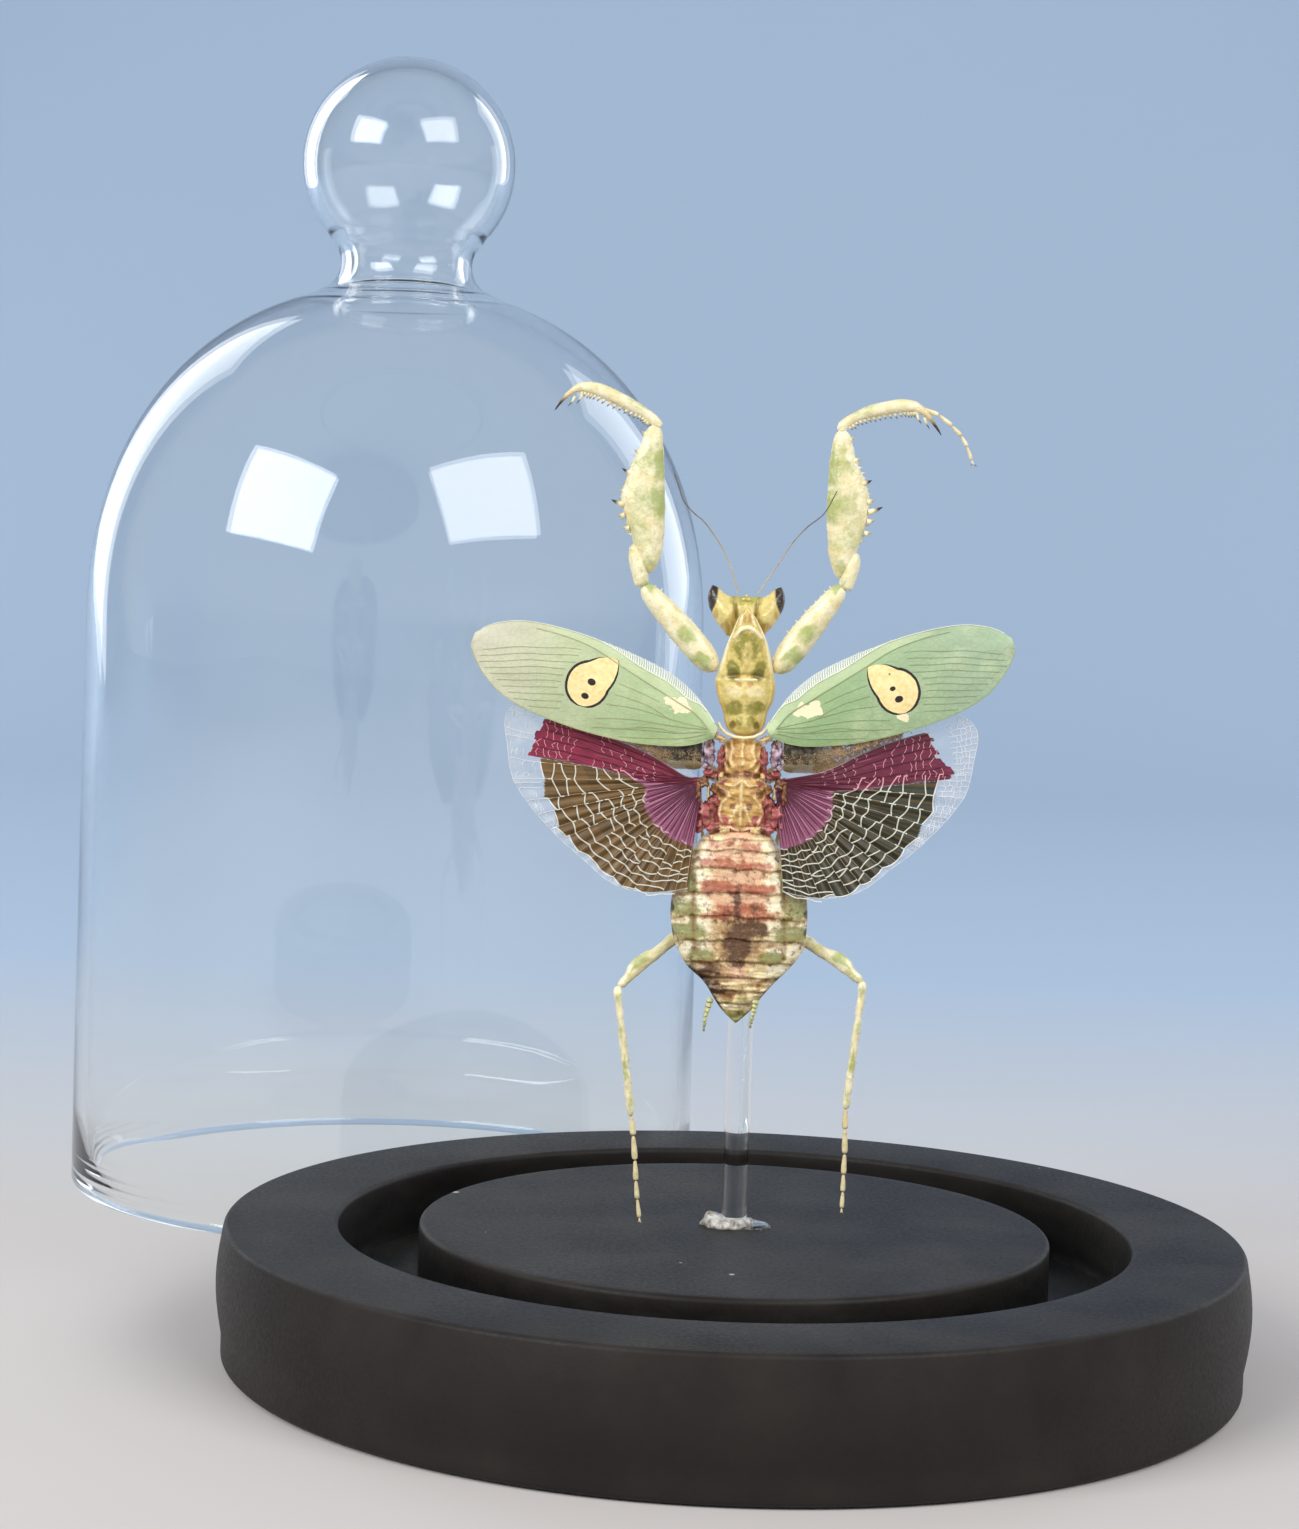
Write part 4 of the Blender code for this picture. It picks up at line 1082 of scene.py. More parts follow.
# The bar's edges: the distance out from the hinge and the height above it.
BAR_TOP = {"left": ((0.0, 0.3), (1.5, 0.3), (3.2, 1.2), (5.0, 2.2), (9.5, 4.0), (15.2, 5.7), (20.0, 7.1)),
           "right": ((0.0, 0.45), (1.0, 0.45), (4.3, 1.1), (6.3, 2.0), (7.7, 2.8), (10.5, 4.1), (14.6, 5.4),
                     (20.0, 6.9))}
BAR_BOTTOM = {"left": ((0.0, -0.6), (4.5, -0.4), (6.7, 0.0), (11.4, 1.0), (16.8, 1.75), (20.0, 2.2)),
              "right": ((0.0, -0.5), (4.0, -0.6), (7.4, -0.6), (11.7, 0.15), (16.7, 0.9), (20.0, 1.5))}
BAR_END = {"left": (16.9, 0.42), "right": (16.9, 0.55)}
SECTORS = 15
DARK_RINGS = 8
HIND_TONES = {
    "left": {"cell": (124, 94, 48), "deep": (80, 60, 30), "bar": (158, 40, 74), "fan": (182, 112, 144)},
    "right": {"cell": (56, 62, 44), "deep": (28, 33, 22), "bar": (120, 40, 68), "fan": (176, 106, 138)},
}
MARGIN_ALPHA = {"left": (0.07, 0.26), "right": (0.07, 0.2)}
FAINT_CHANCE = {"left": 0.4, "right": 0.9}
# Vein colours among the dark cells, in the bar, in the fan and in the clear margin.
VEINS = {"radial": ((168, 132, 88), (84, 18, 40), (88, 24, 52), (222, 222, 222)),
         "cross": ((218, 216, 200), (222, 160, 168), (214, 168, 190), (232, 234, 236)),
         "margin": ((218, 216, 200), (222, 160, 168), (214, 168, 190), (236, 238, 240))}
VEIN_SLOTS = {"radial": 1, "cross": 2, "margin": 3}
RADIAL_WIDTH, SPARE_WIDTH, CROSS_WIDTH, DASH_WIDTH = 0.11, 0.09, 0.145, 0.075
FAINT_WIDTH, FAINT_ALPHA, RIM_WIDTH = 0.08, 0.75, 0.07


class Fan:
    """The net of one hindwing: where its radial veins and its rings of cross veins run."""

    def __init__(self, side):
        chance = random.Random(side)
        self.side = side
        step = (4.0 - LOWEST) / SECTORS
        self.turns = [LOWEST + step * (i + 0.16 * chance.uniform(-1, 1)) for i in range(SECTORS + 1)]
        self.rings = []
        for i in range(SECTORS):
            row = []
            for ring in range(DARK_RINGS + 1):
                ends = []
                for j in (i, i + 1):
                    turn = self.turns[j]
                    low, high = between(FAN_REACH, turn)[1], between(DARK_REACH, turn)[1]
                    zigzag = 0.17 if (j + ring) % 2 else -0.17
                    share = (ring + zigzag + 0.1 * noise.noise((j, ring, 4.0))) / DARK_RINGS
                    ends.append(low + (high - low) * share)
                if chance.random() < 0.25:
                    slip = chance.uniform(-0.35, 0.35)
                    ends = [ends[0] + slip, ends[1] + slip]
                row.append((ends[0], ends[1]))
            self.rings.append(row)
        self.tones = [[chance.random() for _ in range(DARK_RINGS + 1)] for _ in range(SECTORS)]
        self.chance = chance

    def cell(self, turn, reach):
        """The sector and the ring of a place, and how far across the sector it is."""
        sector = 0
        while sector < SECTORS - 1 and self.turns[sector + 1] <= turn:
            sector += 1
        low, high = self.turns[sector], self.turns[sector + 1]
        share = (turn - low) / (high - low)
        ring = sum(1 for start, end in self.rings[sector] if start + (end - start) * share < reach) - 1
        return sector, ring, share

    def point(self, turn, reach, lift=0.0):
        """A point of the film, lift mm proud of it. The radial veins stand on the pleats' crests."""
        hinge, height = HINGE[self.side]
        whole = between(HIND_REACH, turn)[1]
        rise = 0.75 * max(0.0, 1.0 - 2.5 * (turn - LOWEST) / (21.0 - LOWEST)) * reach / whole
        pleat = 0.11 * math.cos(2 * math.pi * (turn - self.turns[0]) / (self.turns[1] - self.turns[0]))
        pleat *= step_up(reach, 1.0, 6.0) * (1 - step_up(turn, -4.0, 4.0))
        wave = 0.16 * noise.noise(Vector((turn * 0.05, reach * 0.25, 2.0)))
        angle = math.radians(turn)
        return insect(self.side, hinge + reach * math.cos(angle), HIND_DEPTH - rise - pleat - wave - lift,
                      height + reach * math.sin(angle))

    def marks(self, turn, reach):
        """What the film is like at a place: each mark runs from 0 to 1 and its edge is at 0.5."""
        side = self.side
        x = reach * math.cos(math.radians(turn))
        z = reach * math.sin(math.radians(turn))
        top, bottom = between(BAR_TOP[side], x)[1], between(BAR_BOTTOM[side], x)[1]
        end, slant = BAR_END[side]
        row = math.floor((z - bottom) / 0.42)
        tooth = 0.9 * (noise.noise((row * 3.7, 1.0, 5.0 if side == "left" else 9.0)))
        inside = min(z - bottom, top - z, end + tooth - slant * (z - bottom) - x)
        above = z - top
        fan_edge = between(FAN_REACH, turn)[1]
        sector, ring, share = self.cell(turn, reach)
        dark = 1.0 if reach > fan_edge - 0.3 and z < bottom and ring < DARK_RINGS else 0.0
        return {"bar": held(0.5 + inside * 3), "dark": dark, "around": turn, "out": reach,
                "net": held(0.5 + min(above, 12.0 - x, x - 3.5, 1.1 - above) * 3),
                "fan": held(0.5 + min(fan_edge - reach, bottom - z + 0.6) * 2),
                "tone": self.tones[sector][max(0, min(DARK_RINGS, ring))],
                "seam": 1.0 - min(1.0, abs(share - 0.5) * 7) if dark else 0.0}


def sheet(shape, columns, rows, thickness, place):
    """A closed thin film: a grid whose points go where place(u, v) says, then given its thickness."""
    made = bmesh.ops.create_grid(shape, x_segments=columns, y_segments=rows, size=0.5)["verts"]
    for dot in made:
        dot.co, marks = place(dot.co.x + 0.5, dot.co.y + 0.5)
        set_marks(shape, dot, marks)
    faces = list({face for dot in made for face in dot.link_faces})
    grown = bmesh.ops.extrude_face_region(shape, geom=faces)["geom"]
    moved = [part for part in grown if isinstance(part, bmesh.types.BMVert)]
    bmesh.ops.translate(shape, verts=moved, vec=(0, thickness * MM, 0))


def streaks(tree, across, along, scale):
    """Fine streaks that run out from the hinge."""
    where = put(tree, "CombineXYZ", {0: times(tree, mark_of(tree, "around"), across),
                                     1: times(tree, mark_of(tree, "out"), along)}).outputs[0]
    return cloud(tree, scale, 4.0, where, 0.6)


def make_hindwing_film(side):
    tones = HIND_TONES[side]
    material, tree, shader = new_material(f"hindwing_film_{side}", Roughness=0.42)
    streak = streaks(tree, 0.8, 0.16, 1.0)
    fine = streaks(tree, 2.4, 0.5, 1.0)
    tone = times(tree, mark_of(tree, "tone"), 0.5)
    share = sum_of(tree, tone, ramp(tree, fine, 0.3, 0.7, -0.2, 0.6))
    cell = blend(tree, ramp(tree, share, 0.1, 1.0), paint(*tones["deep"]), paint(*tones["cell"]))
    cell = blend(tree, times(tree, mark_of(tree, "seam"), 0.3), cell, paint(166, 132, 88))
    colour = blend(tree, mark_of(tree, "dark"), paint(236, 238, 240), cell)
    fan = blend(tree, ramp(tree, streak, 0.45, 0.7), paint(*tones["fan"]), paint(112, 50, 82))
    fan = blend(tree, ramp(tree, fine, 0.55, 0.75), fan, paint(232, 186, 208))
    in_fan = ragged(tree, "fan", 0.9, 0.2)
    colour = blend(tree, in_fan, colour, fan)
    bar = blend(tree, ramp(tree, fine, 0.4, 0.66), paint(*tones["bar"]), paint(86, 22, 44))
    bar = blend(tree, ramp(tree, streak, 0.62, 0.78), bar, paint(206, 120, 140))
    in_bar = ragged(tree, "bar", 0.5, 0.06)
    colour = blend(tree, in_bar, colour, bar)
    thread = net_lines(tree, 2600.0, 0.05, 0.14)
    in_net = ragged(tree, "net", 1.0, 0.1)
    net = blend(tree, cloud(tree, 500.0), paint(120, 84, 58), paint(196, 160, 116))
    colour = blend(tree, in_net, colour, net)
    film = sum_of(tree, times(tree, thread, 0.62), 0.3)
    solid = larger(tree, larger(tree, in_fan, in_bar), mark_of(tree, "dark"))
    clear = ramp(tree, cloud(tree, 420.0, 4.0), 0.4, 0.75, *MARGIN_ALPHA[side])
    alpha = larger(tree, larger(tree, times(tree, solid, 0.97), clear),
                   times(tree, in_net, film))
    tree.links.new(colour, shader.inputs["Base Color"])
    tree.links.new(alpha, shader.inputs["Alpha"])
    tree.links.new(bump(tree, fine, 0.45, 0.0001), shader.inputs["Normal"])
    return material


def make_vein(name, plain, in_bar, in_fan, outside):
    """Vein colours: plain among the dark cells, and others in the bar, the fan and the clear margin."""
    material, tree, shader = new_material(name, Roughness=0.5)
    colour = blend(tree, mark_of(tree, "dark"), paint(*outside), paint(*plain))
    colour = blend(tree, mark_of(tree, "fan"), colour, paint(*in_fan))
    colour = blend(tree, mark_of(tree, "bar"), colour, paint(*in_bar))
    tree.links.new(colour, shader.inputs["Base Color"])
    return material


def make_hindwing(side):
    fan = Fan(side)
    chance = fan.chance
    shape = begin("bar", "net", "fan", "dark", "around", "out", "tone", "seam")

    def place(u, v):
        first = LOWEST + (23.0 - LOWEST) * u
        reach = 0.4 + (between(HIND_REACH, first)[1] - 0.4) * v
        turn = LOWEST + (between(HIND_TOP, reach)[1] - LOWEST) * u
        return fan.point(turn, reach), fan.marks(turn, reach)

    sheet(shape, 250, 150, MEMBRANE, place)

    def lay(lines, width, kind, taper=None):
        """Veins on the film, along lists of (turn, reach), marked as the film is below them."""
        first = len(shape.verts)
        for line in lines:
            add_threads(shape, [[fan.point(turn, reach, 0.02) for turn, reach in line]], width,
                        VEIN_SLOTS[kind], taper=taper)
        shape.verts.ensure_lookup_table()
        hinge, height = HINGE[side]
        for dot in shape.verts[first:]:
            x, z = abs(dot.co.x - MIDLINE) / MM - hinge, dot.co.z / MM - height
            set_marks(shape, dot, fan.marks(math.degrees(math.atan2(z, x)), math.hypot(x, z)))

    radials = []
    for i, turn in enumerate(fan.turns):
        whole = between(HIND_REACH, turn)[1]
        radials.append([(turn + 0.5 * noise.noise((turn, r * 0.4, 1.0)), 0.9 + (whole - 1.0) * r / 24)
                        for r in range(25)])
    lay(radials, RADIAL_WIDTH, "radial", 0.6)
    spare = []
    for low, high in zip(fan.turns, fan.turns[1:]):
        turn = (low + high) / 2
        spare.append([(turn, 1.4 + (between(FAN_REACH, turn)[1] - 0.9) * r / 10) for r in range(11)])
    lay(spare, SPARE_WIDTH, "radial", 0.6)
    crossing, faint = [], []
    for sector, row in enumerate(fan.rings):
        low, high = fan.turns[sector], fan.turns[sector + 1]
        upper = high > -20.0
        for ring, (start, end) in enumerate(row):
            if chance.random() < (0.2 if upper else 0.06) or ring == 0 and chance.random() < 0.4:
                continue
            bow = chance.uniform(-0.12, 0.12)
            line = [(low + (high - low) * i / 6,
                     start + (end - start) * i / 6 + bow * math.sin(math.pi * i / 6)) for i in range(7)]
            if upper and chance.random() < 0.7:
                line = [(low, start - 0.35)] + line + [(high, end + 0.35)]
            crossing.append(line)
    for i in range(26):
        turn = -24.0 + 44.0 * i / 25
        whole = between(HIND_REACH, turn)[1]
        x_end = min(BAR_END[side][0] + 0.2, whole - 0.8)
        first = between(DARK_REACH, min(turn, 8.0))[1] + 0.2 if turn < 4 else x_end
        if chance.random() < FAINT_CHANCE[side]:
            faint.append([(turn + 0.6 * noise.noise((turn, k * 0.7, 3.0)), first + (whole - first) * k / 8)
                          for k in range(9)])
        for ring in range(1, 5):
            reach = first + (whole - first) * (ring + chance.uniform(-0.3, 0.3)) / 5
            if chance.random() < FAINT_CHANCE[side]:
                faint.append([(turn, reach), (turn + 0.9, reach + chance.uniform(-0.12, 0.12)),
                              (turn + 1.76, reach + chance.uniform(-0.2, 0.2))])
    lay(crossing, CROSS_WIDTH, "cross")
    lay(faint, FAINT_WIDTH, "margin")
    turns = [LOWEST + (22.0 - LOWEST) * i / 160 for i in range(161)]
    lay([[(turn, between(HIND_REACH, turn)[1] - 0.04) for turn in turns]], RIM_WIDTH, "margin")

    def in_bar(share, x, sway=0.0):
        """The turn and reach of a place in the crimson bar, share of the way up it."""
        low, high = between(BAR_BOTTOM[side], x)[1], between(BAR_TOP[side], x)[1]
        z = low + (high - low) * share + sway * noise.noise((x * 0.7, share * 9.0, 2.0))
        return math.degrees(math.atan2(z, x)), math.hypot(x, z)

    rows = (0.03, 0.24, 0.45, 0.66, 0.83, 0.98)
    for share in rows:
        line = [in_bar(share, 0.9 + (16.0 - 1.2 * share - 0.9) * i / 40, 0.1) for i in range(41)]
        lay([line], RADIAL_WIDTH, "radial", 0.7)
    dashes = []
    for low, high in zip(rows, rows[1:]):
        x = 4.6
        while x < 16.2 - 1.5 * low:
            if chance.random() < (0.55 if x < 12 else 0.9):
                start = low + (high - low) * chance.uniform(0.0, 0.25)
                end = high - (high - low) * chance.uniform(0.0, 0.2)
                bend, lean = chance.uniform(-0.2, 0.3), chance.uniform(-0.3, 0.3)
                dashes.append([in_bar(start, x), in_bar((start + end) / 2, x + bend), in_bar(end, x + lean)])
            x += chance.uniform(0.7, 1.25) if x < 12 else chance.uniform(0.45, 0.8)
    lay(dashes, DASH_WIDTH, "cross")
    veins = [make_vein(f"{kind}_vein_{side}", *colours) for kind, colours in VEINS.items()]
    veins[-1].node_tree.nodes["Principled BSDF"].inputs["Alpha"].default_value = FAINT_ALPHA
    finish(f"hindwing_{side}_film", shape, [make_hindwing_film(side), *veins], "hindwing_membrane",
           f"hindwing_{side}")


for hand in ("left", "right"):
    make_hindwing(hand)


# ---------------------------------------------------------------- forewings
# Each forewing is a long, firmer leaf of green membrane with a comb of pale teeth along the front edge, a
# cream spot at the root and a big cream eyespot with two pupils. A dark lacy lobe hangs from its root.
FOREWING_LENGTH = 25.5
# The leaf's edges: along the wing and across it.
FOREWING_FRONT = ((0.0, 0.5), (1.4, 1.55), (2.7, 2.5), (4.6, 3.4), (6.7, 4.0), (10.5, 4.4), (14.8, 4.45),
                  (17.0, 4.35), (19.3, 4.1), (21.4, 3.65), (23.0, 3.0), (24.4, 2.1), (25.5, 0.9))
FOREWING_BACK = ((0.0, -0.6), (1.5, -1.75), (3.2, -2.6), (7.0, -3.7), (11.0, -4.3), (15.2, -4.5),
                 (18.8, -4.3), (21.3, -3.7), (23.0, -2.8), (24.5, -1.6), (25.5, -0.4))
# The root sideways and in height, the turn in degrees and the length.
FOREWING_POSE = {"left": (2.6, 62.0, 18.6, 24.9), "right": (2.4, 62.2, 21.3, 24.7)}
FOREWING_DEPTH = -2.5
EYESPOT = {"left": (13.4, 0.05), "right": (13.3, -0.4)}
PUPILS = {"left": ((13.1, 0.4, 0.42), (13.25, -1.12, 0.38)),
          "right": ((12.9, 0.04, 0.3), (13.15, -1.15, 0.42))}
ROOT_SPOT = {"left": (4.5, 1.25), "right": (4.3, 0.75)}
RIGHT_TAIL = (13.0, -3.05)
LEAF = {
    "left": {"leaf": (210, 216, 178), "tip": (228, 222, 200), "root": (178, 204, 146),
             "vein": (188, 186, 148)},
    "right": {"leaf": (176, 198, 160), "tip": (178, 202, 166), "root": (166, 196, 138),
              "vein": (148, 170, 126)},
}
INNER_VEINS = (((6.2, 0.9), (8.0, 1.1), (10.6, 1.2)), ((1.0, 0.1), (4.0, -0.25), (8.0, -0.5), (11.0, -1.1)),
               ((1.0, 0.0), (4.0, -0.8), (8.0, -1.6), (11.6, -2.8)),
               ((0.9, -0.2), (3.5, -1.3), (7.0, -2.3), (11.5, -3.7)),
               ((0.8, -0.4), (3.0, -1.7), (6.0, -2.8), (8.8, -3.7)),
               ((3.4, -1.25), (6.2, -1.75), (9.0, -2.9)), ((5.0, -0.25), (7.5, 0.2), (10.5, 0.1)))
VEIN_SLOT, COMB_SLOT, LOBE_SLOT, HAIR_SLOT = 1, 2, 3, 4
OUTER_VEIN, INNER_VEIN, COSTAL_VEIN, FRONT_EDGE, BACK_EDGE = 0.048, 0.08, 0.14, 0.12, 0.07
TOOTH_WIDTH = 0.13
HAIRS, HAIR_WIDTH = 420, 0.05
LOBE_FOOT = ((2.6, 59.15), (5.0, 59.1), (7.2, 59.3), (9.0, 59.95), (12.0, 61.15), (16.4, 62.9))


def comb_height(along):
    """How far the comb on the front edge stands out, in millimetres."""
    return 0.9 * step_up(along, 1.5, 4.0) * (1 - step_up(along, 8.0, 14.5))


def forewing_point(side, along, across, lift=0.0):
    root, height, angle, length = FOREWING_POSE[side]
    turn, scale = math.radians(angle), length / FOREWING_LENGTH
    share = held(along / FOREWING_LENGTH)
    low, high = between(FOREWING_BACK, along)[1], between(FOREWING_FRONT, along)[1]
    v = held((across - low) / max(high - low, 0.1))
    bulge = 0.5 * math.sin(math.pi * v) * math.sin(math.pi * (0.15 + 0.7 * share))
    bulge += 0.12 * noise.noise(Vector((along * 0.3, across * 0.6, 3.0 if side == "left" else 8.0)))
    along, across = along * scale, across * scale
    sideways = root + along * math.cos(turn) - across * math.sin(turn)
    return insect(side, sideways, FOREWING_DEPTH - bulge - lift,
                  height + along * math.sin(turn) + across * math.cos(turn))


def eyespot_at(side, along, across):
    """How far outside the eyespot's edge a place is, in mm, and the turn about its middle."""
    middle = EYESPOT[side]
    x, y = along - middle[0], (across - middle[1]) / 1.08
    turn = math.degrees(math.atan2(y, x))
    point = max(0.0, 1 - abs(turn - 124.0) / 55.0)
    return math.hypot(x, y) - 2.08 - 1.55 * point ** 1.35, turn


def make_mottled(name, roughness, scale, first, second):
    """A finish of two colours in soft clouds."""
    material, tree, shader = new_material(name, Roughness=roughness)
    colour = blend(tree, cloud(tree, scale), paint(*first), paint(*second))
    tree.links.new(colour, shader.inputs["Base Color"])
    return material


def make_leaf_material(side):
    tones = LEAF[side]
    material, tree, shader = new_material(f"forewing_leaf_{side}", Roughness=0.45)
    blotch = cloud(tree, 320.0, 5.0)
    out = mark_of(tree, "out")
    leaf = blend(tree, ramp(tree, out, 6.0, 20.0), paint(*tones["root"]), paint(*tones["leaf"]))
    leaf = blend(tree, times(tree, ramp(tree, out, 17.0, 24.0), 0.7), leaf, paint(*tones["tip"]))
    leaf = blend(tree, ramp(tree, blotch, 0.5, 0.75, 0.0, 0.5), leaf, paint(222, 228, 190))
    line = net_lines(tree, 1500.0, 0.0, 0.09)
    leaf = blend(tree, times(tree, line, 0.22), leaf, paint(*tones["vein"]))
    strip = ragged(tree, "strip", 0.3, 0.15)
    leaf = blend(tree, times(tree, strip, 0.6), leaf, paint(216, 230, 182))
    comb = mark_of(tree, "comb")
    leaf = blend(tree, comb, leaf, paint(228, 236, 232))
    grain = ramp(tree, cloud(tree, 2200.0, 4.0), 0.35, 0.7)
    cream = blend(tree, grain, paint(253, 236, 176), paint(243, 213, 142))
    root_spot = ragged(tree, "root_spot", 0.35, 0.06)
    leaf = blend(tree, root_spot, leaf, paint(250, 238, 198))
    eye = ramp(tree, mark_of(tree, "eyespot"), 0.03, -0.03)
    leaf = blend(tree, eye, leaf, cream)
    drift = times(tree, sum_of(tree, cloud(tree, 1700.0, 3.0), 0.5, "SUBTRACT"), 0.1)
    edge = sum_of(tree, sum_of(tree, mark_of(tree, "eyespot"), drift), 0.0, "ABSOLUTE")
    ring = sum_of(tree, mark_of(tree, "ring"), edge, "GREATER_THAN")
    pupil = ragged(tree, "pupil", 0.5, 0.06)
    leaf = blend(tree, larger(tree, ring, pupil), leaf, paint(38, 24, 20))
    specks = use_group(tree, dust_group, Specks=460.0, Amount=0.09, Haze=0.0)["Mask"]
    leaf = blend(tree, times(tree, specks, 0.8), leaf, paint(58, 50, 34))
    alpha = ramp(tree, blotch, 0.35, 0.7, 0.76, 0.9)
    alpha = sum_of(tree, alpha, times(tree, comb, -0.3))
    solid = larger(tree, larger(tree, eye, root_spot), pupil)
    alpha = larger(tree, alpha, solid)
    tree.links.new(leaf, shader.inputs["Base Color"])
    tree.links.new(alpha, shader.inputs["Alpha"])
    height = sum_of(tree, times(tree, line, 0.5), cloud(tree, 1800.0, 4.0))
    tree.links.new(bump(tree, height, 0.4, 0.0001), shader.inputs["Normal"])
    return material


def make_lobe_material():
    """The lobe's lace: dark near the root, tan further out, with holes between its threads."""
    material, tree, shader = new_material("forewing_lobe", Roughness=0.6)
    thread = net_lines(tree, 2500.0, 0.06, 0.2)
    out = mark_of(tree, "out")
    dark = ramp(tree, out, 6.5, 10.0, 1.0, 0.0)
    tan = blend(tree, cloud(tree, 700.0, 4.0), paint(138, 98, 62), paint(214, 180, 130))
    patch = ramp(tree, cloud(tree, 1900.0, 4.0), 0.45, 0.7)
    murk = blend(tree, patch, paint(34, 32, 24), paint(120, 108, 78))
    tree.links.new(blend(tree, dark, tan, murk), shader.inputs["Base Color"])
    solid = larger(tree, thread, times(tree, dark, 0.9))
    edge = ragged(tree, "lobe", 0.9, 0.1)
    tree.links.new(times(tree, solid, edge), shader.inputs["Alpha"])
    return material


